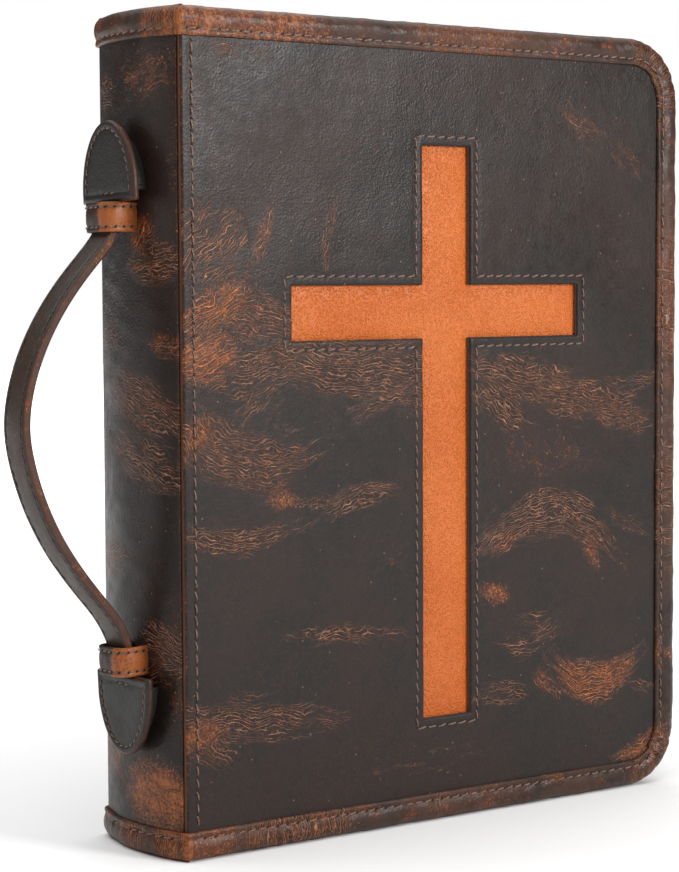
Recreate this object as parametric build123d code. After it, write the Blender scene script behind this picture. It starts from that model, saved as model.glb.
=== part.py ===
"""Zipped leather Bible case with a carry handle on its spine, and the Bible that it holds.

The case stands upright on its bottom edge. In the build frame X runs from the spine fold to the fore-edge,
Y from the front cover to the back cover, and Z up. Each sub-part is moved at export so that the origin is the
centre of the bottom of the bounding box.
"""
from build123d import *
import os
from math import atan2, degrees, sqrt

# Driving dimensions of the case, in millimetres
HEIGHT = 270.0            # outside, along the spine
WIDTH = 212.0             # from the spine fold to the fore-edge
DEPTH = 50.0              # between the outer faces of the two cover leathers
CORNER_R = 22.0           # outer radius of the two fore-edge corners
SPINE_BULGE = 5.2         # how far the rounded spine stands out of its two folds
BINDING_WIDTH = 9.5       # edge binding, seen from the front
BINDING = 1.5             # thickness of the binding leather
BINDING_ROUND = 2.6       # outer rounding of the rolled binding on the covers
SPINE_BINDING_ROUND = 1.4 # outer rounding of the binding on the spine's two ends
GUSSET_INSET = 5.0        # gusset wall, in from the outside edge
GUSSET = 1.6              # thickness of the gusset leather
GUSSET_REACH = 9.0        # free edge of the gusset, from the middle plane
FOLD_GAP = 0.25           # room between the cover and the spine at a fold

# Cover layers, from the outer face inwards
LEATHER = 1.8
PADDING = 1.2
BOARD = 1.5
LINING = 0.6

# Cross window in the front leather, and the tan leather behind it
CROSS_LEFT = 41.7
CROSS_RIGHT = 163.7
CROSS_BAR_LEFT = 95.2
CROSS_BAR_RIGHT = 115.2
CROSS_BOTTOM = 35.5
CROSS_TOP = 229.2
CROSS_ARM_LOW = 164.7
CROSS_ARM_HIGH = 182.6
INLAY_MARGIN = 7.0        # how far the tan leather runs on behind the window's edge

# Zip
TAPE = 0.8
TAPE_LAP = 2.0            # tape sewn under the gusset's free edge
TEETH_WIDTH = 2.45        # one row of teeth, across the zip
TEETH_HEIGHT = 2.6
TEETH_PROUD = 1.0         # teeth above the tape's outer face
ROW_GAP = 0.15            # from the middle plane to a row of teeth
ZIP_START_X = 9.0         # the zip begins this far from the spine fold

# Carry handle, drawn upright and then leant a little, because it is sewn on slightly askew
STRAP_WIDTH = 13.0
STRAP = 3.3
STRAP_END_WIDTH = 9.8     # the strap narrows inside the keepers
STRAP_END = 64.5          # from the handle's middle to where the narrow end begins
STRAP_AXIS_X = -12.0      # the line through the two strap ends, on which the handle swings
STRAP_PATH = [            # (x, height above the handle's middle) of the strap's centre line
    (-12.0, 74.0), (-12.4, 68.0), (-20.4, 56.8), (-35.3, 38.4), (-45.0, 16.5), (-46.6, 4.5), (-45.2, -6.0),
    (-35.6, -30.8), (-22.2, -49.6), (-13.4, -62.5), (-12.0, -68.0), (-12.0, -74.0),
]
KEEPER_WIDTH = 15.6
KEEPER_HEIGHT = 9.5
KEEPER_FACE_X = -17.2
KEEPER_FRONT_WALL = 1.1
KEEPER_SIDE_WALL = 1.5
KEEPER_R = 4.2
PATCH_WIDTH = 32.0
PATCH_HEIGHT = 26.0
PATCH_FACE_X = -12.1
PATCH = 2.6
PATCH_EDGE_ROUND = 1.0
PATCH_STRAIGHT = 3.5      # straight stretch of the patch's sides, before the round end
PATCH_PAD_INSET = 3.5     # the pad between the patch and the spine is smaller than the patch
HANDLE_MID_Z = 134.0      # half-way between the two patches
PATCH_EDGE_FROM_MID = 75.3
HANDLE_LEAN_FORWARD = 3.0 # how much nearer to the front cover the lower patch is than the upper one
HANDLE_LEAN_IN = 1.3      # how much closer to the spine the lower patch is

# Bible: covers, page block and the first leaves
BOOK_HEIGHT = 242.0
BOOK_WIDTH = 170.0
BOOK_LEFT = 8.0
BOOK_COVER = 1.6
BOOK_COVER_OUT = 19.6     # outer face of the Bible's covers, from the middle plane
PAGES_INSET = 3.0         # page block, in from the cover's edge
PAGES_LEFT = 12.0
PAGES_BACK = 16.5         # back face of the page block, from the middle plane
PAGES_FRONT = 12.0        # front face of the page block, behind the separate leaves
LEAF = 1.2
LEAF_GAP = 0.2
LEAF_COUNT = 3
BOOK_CORNER_R = 8.0
SLEEVE = 1.0
SLEEVE_FACE = 17.8        # side of the sleeve towards the cover, from the middle plane
SLEEVE_LEFT = 112.0
SLEEVE_EDGE = 5.0         # sewn border of the sleeve

ELASTIC = 0.9             # pen loops
PEN_R = 6.2
PEN_WING = 10.5
PEN_X = 191.0
PEN_LOOP_HEIGHT = 18.0
PEN_LOOPS_Z = {"upper": 205.0, "lower": 150.0}

HALF = DEPTH / 2
OUTSIDE = HALF + BINDING                 # binding's outer face, from the middle plane
LAYER_1 = HALF - LEATHER                 # inside of the outer leather
LAYER_2 = LAYER_1 - PADDING
LAYER_3 = LAYER_2 - BOARD
LAYER_4 = LAYER_3 - LINING               # face of the lining
SPINE_R = (HALF**2 + SPINE_BULGE**2) / (2 * SPINE_BULGE)
SPINE_CENTRE_X = SPINE_R - SPINE_BULGE
BOOK_LOW = (HEIGHT - BOOK_HEIGHT) / 2
CHAIN_INSET = GUSSET_INSET + GUSSET      # outer face of the tape
TEETH_TOP_Z = HEIGHT - CHAIN_INSET + TEETH_PROUD


def slab(face, y_low, y_high):
    """A flat face drawn in X and Z, given thickness from y_low to y_high."""
    return Pos(0, y_high, 0) * extrude(Plane.XZ * face, y_high - y_low)


def box(x, y, z):
    """A box from three (low, high) pairs."""
    size = [pair[1] - pair[0] for pair in (x, y, z)]
    return Pos(x[0], y[0], z[0]) * Box(*size, align=(Align.MIN,) * 3)


def cover_face(inset, x_start):
    """The cover's outline, drawn in by inset, with its two fore-edge corners round."""
    width = WIDTH - inset - x_start
    face = Pos(x_start + width / 2, HEIGHT / 2) * Rectangle(width, HEIGHT - 2 * inset)
    return fillet(face.vertices().sort_by(Axis.X)[-2:], CORNER_R - inset)


def layer(inset, x_start, y_low, y_high):
    return slab(cover_face(inset, x_start), y_low, y_high)


def rim(outer, inner, x_start, y_low, y_high):
    """A band along the top, fore-edge and bottom, between two insets, open at the spine."""
    return layer(outer, x_start, y_low, y_high) - layer(inner, x_start - 1, y_low - 1, y_high + 1)


def cross_face(grow):
    """The cross, drawn out by grow on every side."""
    upright = (CROSS_BAR_LEFT - grow, CROSS_BAR_RIGHT + grow, CROSS_BOTTOM - grow, CROSS_TOP + grow)
    arms = (CROSS_LEFT - grow, CROSS_RIGHT + grow, CROSS_ARM_LOW - grow, CROSS_ARM_HIGH + grow)
    bars = [
        Pos((left + right) / 2, (low + high) / 2) * Rectangle(right - left, high - low)
        for left, right, low, high in (upright, arms)
    ]
    return bars[0] + bars[1]


def spine_shell(r_low, r_high, z_low, z_high, half_width=OUTSIDE):
    """Part of the rounded spine between two radii, ending at the two folds."""
    ring = Cylinder(r_high, z_high - z_low, align=(Align.CENTER, Align.CENTER, Align.MIN))
    ring -= Cylinder(r_low, z_high - z_low, align=(Align.CENTER, Align.CENTER, Align.MIN))
    keep = box((-20, -0.05), (-half_width, half_width), (z_low, z_high))
    return Pos(SPINE_CENTRE_X, 0, z_low) * ring & keep


def cover_layers():
    """What both covers share, made for the front cover: y is negative."""
    start = FOLD_GAP
    return {
        "panel": layer(BINDING, start, -HALF, -LAYER_1),
        "padding": layer(BINDING, start + 1, -LAYER_1, -LAYER_2),
        "board": layer(BINDING, start + 1, -LAYER_2, -LAYER_3),
        "lining": layer(CHAIN_INSET, start + 1, -LAYER_3, -LAYER_4),
        "gusset": rim(GUSSET_INSET, CHAIN_INSET, 2.0, -LAYER_3, -GUSSET_REACH),
    }


def cover_binding():
    """Leather strip folded over the cover's three free edges."""
    front_leg = rim(0, BINDING_WIDTH, FOLD_GAP, -OUTSIDE, -HALF)
    edge_leg = rim(0, BINDING, FOLD_GAP, -HALF, -LAYER_3 + BINDING)
    inner_leg = rim(0, GUSSET_INSET, FOLD_GAP, -LAYER_3, -LAYER_3 + BINDING)
    strip = front_leg + edge_leg + inner_leg
    outer = [
        edge
        for edge in strip.edges().filter_by_position(Axis.Y, -OUTSIDE - 0.01, -OUTSIDE + 0.01)
        if edge.length > 20 and max_inset(edge) < 0.5
    ]
    return fillet(outer, BINDING_ROUND)


def max_inset(edge):
    """How far the middle of an edge lies in from the cover's outline."""
    point = edge @ 0.5
    dx = max(0.0, point.X - (WIDTH - CORNER_R))
    dz = max(0.0, abs(point.Z - HEIGHT / 2) - (HEIGHT / 2 - CORNER_R))
    return CORNER_R - sqrt(dx**2 + dz**2)


def zip_half():
    """One side of the zip: its tape and its row of teeth."""
    tape = rim(CHAIN_INSET, CHAIN_INSET + TAPE, ZIP_START_X - 3, -GUSSET_REACH - TAPE_LAP,
               -ROW_GAP - TEETH_WIDTH)
    teeth_low = CHAIN_INSET - TEETH_PROUD
    teeth = rim(teeth_low, teeth_low + TEETH_HEIGHT, ZIP_START_X, -ROW_GAP - TEETH_WIDTH, -ROW_GAP)
    return {"zip_tape": tape, "zip_teeth": teeth}


def sleeve():
    """Pocket on the inside of a cover that the Bible's own cover slides into."""
    outer = CHAIN_INSET + 0.4
    flap = layer(outer, SLEEVE_LEFT, -SLEEVE_FACE, -SLEEVE_FACE + SLEEVE)
    border = rim(outer, outer + SLEEVE_EDGE, SLEEVE_LEFT, -LAYER_4, -SLEEVE_FACE)
    return flap + border


def book_cover():
    """The Bible's front cover board in its leather."""
    width = BOOK_WIDTH
    face = Pos(BOOK_LEFT + width / 2, HEIGHT / 2) * Rectangle(width, BOOK_HEIGHT)
    face = fillet(face.vertices().sort_by(Axis.X)[-2:], BOOK_CORNER_R)
    return slab(face, -BOOK_COVER_OUT, -BOOK_COVER_OUT + BOOK_COVER)


def page_face(left):
    """Page outline in X and Z, with its fore-edge corners round."""
    right = BOOK_LEFT + BOOK_WIDTH - PAGES_INSET
    height = BOOK_HEIGHT - 2 * PAGES_INSET
    face = Pos((left + right) / 2, HEIGHT / 2) * Rectangle(right - left, height)
    return fillet(face.vertices().sort_by(Axis.X)[-2:], BOOK_CORNER_R - PAGES_INSET)


def leaves(index):
    """A gathering of leaves in front of the page block. Each one starts a little further from the spine."""
    step = LEAF + LEAF_GAP
    front = PAGES_FRONT + (LEAF_COUNT - index) * step
    return slab(page_face(PAGES_LEFT + index * step), -front, -front + LEAF)


def leaf_hinge(index):
    """Front spine corner of a gathering, on which it turns."""
    step = LEAF + LEAF_GAP
    return (PAGES_LEFT + index * step, -PAGES_FRONT - (LEAF_COUNT - index) * step)


def page_block():
    """The sewn block of pages, with a round back."""
    pages = slab(page_face(PAGES_LEFT + 4), -PAGES_FRONT, PAGES_BACK)
    low = BOOK_LOW + PAGES_INSET
    arc_mid = (PAGES_BACK - PAGES_FRONT) / 2
    x_join = PAGES_LEFT + 4
    back = ThreePointArc((x_join, -PAGES_FRONT), (PAGES_LEFT - 5, arc_mid), (x_join, PAGES_BACK))
    back_face = make_face(back + Line((x_join, PAGES_BACK), (x_join, -PAGES_FRONT)))
    return pages + Pos(0, 0, low) * extrude(back_face, HEIGHT - 2 * low)


def head_bands():
    """Two sewn bands, at the top and bottom of the page block's back."""
    low = BOOK_LOW + PAGES_INSET
    arc_mid = (PAGES_BACK - PAGES_FRONT) / 2
    x_join = PAGES_LEFT + 1.5
    reach = 9.0
    arc = ThreePointArc((x_join - 2, arc_mid - reach), (PAGES_LEFT - 4, arc_mid), (x_join - 2, arc_mid + reach))
    band = make_face(arc + Line((x_join - 2, arc_mid + reach), (x_join - 2, arc_mid - reach)))
    band_height = 1.6
    lower = Pos(0, 0, low - band_height) * extrude(band, band_height)
    upper = Pos(0, 0, HEIGHT - low) * extrude(band, band_height)
    return Compound([lower, upper])


def book_spine():
    """The Bible's soft leather spine, between its two covers."""
    outer_apex = -SPINE_BULGE + LEATHER + PADDING + LINING + 1.2
    end_x = BOOK_LEFT - 0.3
    outer = ThreePointArc((end_x, -BOOK_COVER_OUT), (outer_apex, 0), (end_x, BOOK_COVER_OUT))
    inner_end = BOOK_COVER_OUT - BOOK_COVER
    inner = ThreePointArc((end_x, inner_end), (outer_apex + BOOK_COVER, 0), (end_x, -inner_end))
    ends = [Line((end_x, BOOK_COVER_OUT), (end_x, inner_end)), Line((end_x, -inner_end), (end_x, -BOOK_COVER_OUT))]
    face = make_face(outer + inner + ends[0] + ends[1])
    return Pos(0, 0, BOOK_LOW) * extrude(face, BOOK_HEIGHT)


def spine_binding():
    """Leather strip folded over the spine's top edge, and its twin at the bottom."""
    inside = SPINE_R - LEATHER - PADDING - LINING
    top = HEIGHT
    outer_leg = spine_shell(SPINE_R, SPINE_R + BINDING, top - BINDING_WIDTH, top)
    edge_leg = spine_shell(inside - BINDING, SPINE_R + BINDING, top - BINDING, top)
    inner_leg = spine_shell(inside - BINDING, inside, top - BINDING_WIDTH + 2, top)
    strip = outer_leg + edge_leg + inner_leg
    top_edges = strip.edges().filter_by_position(Axis.Z, top - 0.01, top + 0.01)
    outermost = min(top_edges, key=lambda edge: (edge @ 0.5).X)
    return fillet([outermost], SPINE_BINDING_ROUND)


def lean(solid):
    """Leans an upright handle piece, keeping its upper patch in the middle plane."""
    span = 2 * PATCH_EDGE_FROM_MID
    top = HANDLE_MID_Z + PATCH_EDGE_FROM_MID
    turn = Rot(-degrees(atan2(HANDLE_LEAN_FORWARD, span)), -degrees(atan2(HANDLE_LEAN_IN, span)), 0)
    return Pos(0, 0, top) * turn * Pos(0, 0, -top) * solid


def strap_layer(low, high):
    """One leather of the strap, between two distances from its centre line. Negative is outside."""
    points = [(x, 0, HANDLE_MID_Z + z) for x, z in STRAP_PATH]
    centre = Spline(*points)
    across = Pos(0, -(low + high) / 2) * Rectangle(STRAP_WIDTH, high - low)
    start = Plane(origin=centre @ 0, x_dir=(0, 1, 0), z_dir=centre % 0)
    strap = sweep(start * across, path=centre)
    for z_range in ((HANDLE_MID_Z + STRAP_END, HEIGHT), (0, HANDLE_MID_Z - STRAP_END)):
        for side in (-1, 1):
            strap -= box((-60, 0), sorted((side * STRAP_END_WIDTH / 2, side * STRAP_WIDTH)), z_range)
    return lean(strap)


def patch_outline(inset, direction):
    """D shape with its straight edge at z = 0 and its round end towards direction."""
    half = PATCH_WIDTH / 2 - inset
    tall = PATCH_HEIGHT - PATCH_STRAIGHT - inset
    low = inset
    round_end = Ellipse(half, tall) & Pos(0, tall / 2) * Rectangle(2 * PATCH_WIDTH, tall)
    outline = Pos(0, PATCH_STRAIGHT) * round_end
    outline += Pos(0, (PATCH_STRAIGHT + low) / 2) * Rectangle(2 * half, PATCH_STRAIGHT - low)
    return Plane(origin=(0, 0, 0), x_dir=(0, direction, 0), z_dir=(1, 0, 0)) * outline


def patch(direction):
    """Stiff leather patch on the spine, standing off it on a smaller pad."""
    z_edge = HANDLE_MID_Z + direction * PATCH_EDGE_FROM_MID
    plate = Pos(PATCH_FACE_X, 0, z_edge) * extrude(patch_outline(0, direction), PATCH)
    face_edges = plate.edges().filter_by_position(Axis.X, PATCH_FACE_X - 0.01, PATCH_FACE_X + 0.01)
    plate = fillet(face_edges, PATCH_EDGE_ROUND)
    pad = Pos(PATCH_FACE_X + PATCH, 0, z_edge) * extrude(patch_outline(PATCH_PAD_INSET, direction), 8)
    return lean(plate + pad) - spine_solid()


def spine_solid():
    """The space inside the spine's outer face."""
    return Pos(SPINE_CENTRE_X, 0, 0) * Cylinder(SPINE_R, HEIGHT, align=(Align.CENTER, Align.CENTER, Align.MIN))


def keeper(direction):
    """Leather loop that holds a strap end against the spine, at the patch's straight edge."""
    edge = HANDLE_MID_Z + direction * PATCH_EDGE_FROM_MID
    z_range = sorted((edge, edge - direction * KEEPER_HEIGHT))
    half = KEEPER_WIDTH / 2
    loop = box((KEEPER_FACE_X, 0), (-half, half), z_range)
    loop = fillet(loop.edges().filter_by(Axis.Z).sort_by(Axis.X)[:2], KEEPER_R)
    room_half = half - KEEPER_SIDE_WALL
    room = box((KEEPER_FACE_X + KEEPER_FRONT_WALL, 1), (-room_half, room_half), (z_range[0] - 1, z_range[1] + 1))
    room = fillet(room.edges().filter_by(Axis.Z).sort_by(Axis.X)[:2], KEEPER_R - KEEPER_SIDE_WALL)
    return lean(loop - room) - spine_solid()


def pen_loop(z_middle):
    """Elastic loop for a pen, sewn by its two wings to the sleeve in the front cover."""
    face_y = -SLEEVE_FACE + SLEEVE
    x_range = (PEN_X - PEN_R, PEN_X + PEN_R)
    z_range = (z_middle - PEN_LOOP_HEIGHT / 2, z_middle + PEN_LOOP_HEIGHT / 2)
    wings = box((PEN_X - PEN_WING, PEN_X + PEN_WING), (face_y, face_y + ELASTIC), z_range)
    outer = box(x_range, (face_y, face_y + PEN_R), z_range)
    outer += Pos(PEN_X, face_y + PEN_R, z_middle) * Cylinder(PEN_R, PEN_LOOP_HEIGHT)
    room_r = PEN_R - ELASTIC
    room = box((PEN_X - room_r, PEN_X + room_r), (face_y + ELASTIC, face_y + PEN_R), (z_range[0] - 1, z_range[1] + 1))
    room += Pos(PEN_X, face_y + PEN_R, z_middle) * Cylinder(room_r, PEN_LOOP_HEIGHT + 2)
    return wings + outer - room


# Zip slider on the top run, with its puller
SLIDER_X = 22.0
SLIDER_LENGTH = 12.0
SLIDER_WIDTH = 10.0
SLIDER_PLATE = 1.8
EAR_OUT = 3.6
EAR_IN = 2.3
PIN_R = 0.7
PIN_BORE_R = 0.76
EYE_R = 1.5
PULL_LENGTH = 15.0
PULL_TAG_LENGTH = 38.0
SLIDER_LOW_Z = TEETH_TOP_Z + 0.3
PIN_Z = SLIDER_LOW_Z + SLIDER_PLATE + EYE_R + 0.25


def zip_slider():
    """Top plate of the slider with two ears that hold the puller's pin."""
    half = SLIDER_LENGTH / 2
    plate = box((SLIDER_X - half, SLIDER_X + half), (-SLIDER_WIDTH / 2, SLIDER_WIDTH / 2),
                (SLIDER_LOW_Z, SLIDER_LOW_Z + SLIDER_PLATE))
    plate = fillet(plate.edges().filter_by(Axis.Z), 2.5)
    for side in (-1, 1):
        ear = box((SLIDER_X - 2.2, SLIDER_X + 2.2), sorted((side * EAR_IN, side * EAR_OUT)),
                  (SLIDER_LOW_Z + SLIDER_PLATE, PIN_Z + 1.4))
        plate += ear
    bore = Pos(SLIDER_X, 0, PIN_Z) * Rot(90, 0, 0) * Cylinder(PIN_R, SLIDER_WIDTH)
    return plate - bore


def slider_pin():
    return Pos(SLIDER_X, 0, PIN_Z) * Rot(90, 0, 0) * Cylinder(PIN_R, 2 * EAR_OUT)


def pull_tab():
    """Metal puller: an eye on the slider's pin, and a flat tongue."""
    wide = 2 * EAR_IN - 0.4
    eye = Pos(SLIDER_X, 0, PIN_Z) * Rot(90, 0, 0) * Cylinder(EYE_R, wide)
    tongue = box((SLIDER_X, SLIDER_X + PULL_LENGTH), (-wide / 2, wide / 2), (PIN_Z - 0.5, PIN_Z + 0.5))
    bore = Pos(SLIDER_X, 0, PIN_Z) * Rot(90, 0, 0) * Cylinder(PIN_BORE_R, 2 * wide)
    return eye + tongue - bore


def pull_tag():
    """Leather tag sewn round the end of the puller."""
    left = SLIDER_X + PULL_LENGTH - 4.0
    tag = box((left, left + PULL_TAG_LENGTH), (-4.0, 4.0), (PIN_Z - 1.5, PIN_Z + 1.5))
    tag = fillet(tag.edges().filter_by(Axis.Z).sort_by(Axis.X)[-2:], 3.5)
    wide = 2 * EAR_IN - 0.4
    return tag - box((left - 1, SLIDER_X + PULL_LENGTH), (-wide / 2, wide / 2), (PIN_Z - 0.5, PIN_Z + 0.5))


def zip_stops():
    """Two metal stops where the back row of teeth ends, beside the spine."""
    stop_x = (ZIP_START_X - 2.2, ZIP_START_X - 0.1)
    y_range = (ROW_GAP, ROW_GAP + TEETH_WIDTH)
    inset = CHAIN_INSET - TEETH_PROUD
    upper = box(stop_x, y_range, (HEIGHT - inset - TEETH_HEIGHT, HEIGHT - inset))
    lower = box(stop_x, y_range, (inset, inset + TEETH_HEIGHT))
    return Compound([upper, lower])


def to_back(solid):
    """The back cover is the front cover's mirror image."""
    return mirror(solid, about=Plane.XZ)


def make_parts():
    parts = {}
    shared = cover_layers() | zip_half() | {"binding": cover_binding(), "sleeve": sleeve()}
    for name, solid in shared.items():
        parts["front_" + name] = solid
        parts["back_" + name] = to_back(solid)
    parts["front_panel"] -= slab(cross_face(0), -HALF - 1, 0)
    parts["front_padding"] -= slab(cross_face(INLAY_MARGIN), -HALF, 0)
    parts["cross_inlay"] = slab(cross_face(INLAY_MARGIN), -LAYER_1, -LAYER_2)
    for name, z in PEN_LOOPS_Z.items():
        parts[f"pen_loop_{name}"] = pen_loop(z)
    parts["zip_stops"] = zip_stops()

    radii = [SPINE_R, SPINE_R - LEATHER, SPINE_R - LEATHER - PADDING, SPINE_R - LEATHER - PADDING - LINING]
    parts["spine_panel"] = spine_shell(radii[1], radii[0], BINDING, HEIGHT - BINDING, HALF)
    parts["spine_padding"] = spine_shell(radii[2], radii[1], BINDING, HEIGHT - BINDING, HALF)
    parts["spine_lining"] = spine_shell(radii[3], radii[2], BINDING, HEIGHT - BINDING, HALF)
    top_binding = spine_binding()
    parts["spine_binding_top"] = top_binding
    parts["spine_binding_bottom"] = mirror(top_binding, about=Plane.XY.offset(HEIGHT / 2))

    for name, direction in (("upper", 1), ("lower", -1)):
        parts["handle_patch_" + name] = patch(direction)
        parts["handle_keeper_" + name] = keeper(direction)
    parts["handle_strap_outer"] = strap_layer(-STRAP / 2, 0)
    parts["handle_strap_inner"] = strap_layer(0, STRAP / 2)

    parts["bible_front_cover"] = book_cover()
    parts["bible_back_cover"] = to_back(book_cover())
    parts["bible_spine"] = book_spine()
    parts["page_block"] = page_block()
    parts["head_bands"] = head_bands()
    for index in range(LEAF_COUNT):
        parts[f"front_leaves_{index + 1}"] = leaves(index)

    parts["zip_slider"] = zip_slider()
    parts["zip_slider_pin"] = slider_pin()
    parts["zip_pull_tab"] = pull_tab()
    parts["zip_pull_tag"] = pull_tag()
    return parts


def shift_x(parts):
    """Moves the origin to the middle of the bounding box along X."""
    boxes = [solid.bounding_box() for solid in parts.values()]
    return -(min(b.min.X for b in boxes) + max(b.max.X for b in boxes)) / 2


os.makedirs("parts", exist_ok=True)
made = make_parts()
shift = shift_x(made)
print("shift in X", round(shift, 4))
for node, solid in made.items():
    export_step(Pos(shift, 0, 0) * solid, f"parts/{node}.step")
for index in range(LEAF_COUNT):
    print("leaf hinge", index + 1, leaf_hinge(index))
ends = [lean(Pos(STRAP_AXIS_X, 0, z) * Sphere(1)).center() for z in (60.0, 200.0)]
print("pin", SLIDER_X, PIN_Z, "fold", OUTSIDE, "strap axis", ends, (ends[1] - ends[0]).normalized())
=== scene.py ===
"""Looks of a zipped leather Bible case with a cross window, rolled edges and a carry handle on its spine.

Sizes are in millimetres, counted from the front fold: x towards the fore-edge, y from the front cover to the
back cover, z up from the bottom edge. to_row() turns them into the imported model's frame, in metres.
"""

import math

import bmesh
import bpy
import numpy as np
from mathutils import Matrix, Vector


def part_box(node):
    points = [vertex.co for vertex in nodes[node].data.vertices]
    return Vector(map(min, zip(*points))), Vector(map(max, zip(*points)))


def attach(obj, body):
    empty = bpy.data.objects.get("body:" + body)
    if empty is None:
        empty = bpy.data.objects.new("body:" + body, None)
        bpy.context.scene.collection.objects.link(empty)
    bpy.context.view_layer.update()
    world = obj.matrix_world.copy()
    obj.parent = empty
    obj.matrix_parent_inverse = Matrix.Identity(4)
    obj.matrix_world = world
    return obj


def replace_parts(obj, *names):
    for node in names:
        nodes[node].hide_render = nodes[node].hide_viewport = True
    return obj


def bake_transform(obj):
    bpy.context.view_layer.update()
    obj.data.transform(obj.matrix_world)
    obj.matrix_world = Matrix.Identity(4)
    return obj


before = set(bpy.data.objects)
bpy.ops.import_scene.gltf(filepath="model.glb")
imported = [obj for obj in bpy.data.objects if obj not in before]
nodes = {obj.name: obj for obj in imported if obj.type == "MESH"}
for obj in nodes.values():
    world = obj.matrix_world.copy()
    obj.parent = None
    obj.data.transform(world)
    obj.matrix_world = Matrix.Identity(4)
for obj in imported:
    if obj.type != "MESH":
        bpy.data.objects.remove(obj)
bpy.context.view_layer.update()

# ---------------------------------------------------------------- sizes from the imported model
MM = 0.001
FOLD_GAP = 0.25
FOLD_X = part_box("front_binding")[0].x - FOLD_GAP * MM
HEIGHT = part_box("front_binding")[1].z / MM
WIDTH = (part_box("front_binding")[1].x - FOLD_X) / MM
HALF = -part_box("front_panel")[0].y / MM
LEATHER = (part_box("front_panel")[1].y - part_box("front_panel")[0].y) / MM
CORNER_R = 22.0
BULGE = (FOLD_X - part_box("spine_panel")[0].x) / MM
SPINE_R = (HALF**2 + BULGE**2) / (2 * BULGE)
STITCH_PITCH = 4.0
WINDOW_SEAM = 3.0
INLAY_MARGIN = 7.0
CROSS = {"left": 41.7, "right": 163.7, "bar_left": 95.2, "bar_right": 115.2,
         "bottom": 35.5, "top": 229.2, "arm_low": 164.7, "arm_high": 182.6}
TEETH_INSET = 5.6
TEETH_PITCH = 2.5

LENS_SHIFT = (-0.005057, 0.018154)  # shares of the picture's longer side
ROOM_LIGHT = 0.1  # share of the white backdrop's light that reaches the object
CREASE_GAP = 1.05  # from one line of a crease group to the next
GROUP_REACH, GROUP_FADE = 1.62, 1.3  # where a crease group ends, and over how much of its reach it fades
LEAST_STRENGTH = 0.05
FOLD_AXIS_Y = 26.5  # the fold joints' axes, out from the middle plane
FOLD_SEAM, FOLD_SEAM_END = 4.0, 11.0  # the fold's stitches, in from the fold and from the case's ends
BINDING_SEAM, BINDING_SEAM_FACE = 7.3, 25.85  # the bindings' stitches, in from the edge and out

rng = np.random.default_rng(7)


def smooth_step(t):
    """0 up to 0, 1 from 1 on, and a smooth rise between."""
    t = np.clip(t, 0, 1)
    return t * t * (3 - 2 * t)


def distance_along(points):
    """How far along a line of points each one lies."""
    return np.concatenate([[0], np.cumsum(np.linalg.norm(np.diff(points, axis=0), axis=1))])


def to_row(points):
    """Millimetres from the fold to metres in the model's frame."""
    return np.asarray(points, float) * MM + np.array([FOLD_X, 0.0, 0.0])


# ---------------------------------------------------------------- camera, floor and light
def add_camera():
    camera = bpy.data.objects.new("camera", bpy.data.cameras.new("camera"))
    bpy.context.scene.collection.objects.link(camera)
    right = Vector((0.80952, -0.58707, -0.00487))
    up = Vector((0.04581, 0.05488, 0.99744))
    back = right.cross(up)
    place = Vector(to_row((-393.34, -653.25, 183.5)))
    camera.matrix_world = Matrix.Translation(place) @ Matrix((right, up, back)).transposed().to_4x4()
    camera.data.lens = 97.63
    camera.data.sensor_width = 36
    camera.data.shift_x, camera.data.shift_y = LENS_SHIFT
    camera.data.clip_end = 20
    bpy.context.scene.camera = camera
    bpy.context.scene.view_settings.view_transform = "Standard"


def add_area_light(name, place, target, size, power):
    data = bpy.data.lights.new(name, "AREA")
    data.shape = "RECTANGLE"
    data.size, data.size_y = size
    data.energy = power
    light = bpy.data.objects.new(name, data)
    bpy.context.scene.collection.objects.link(light)
    light.location = place
    light.rotation_euler = (Vector(target) - Vector(place)).to_track_quat("-Z", "Y").to_euler()


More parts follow.
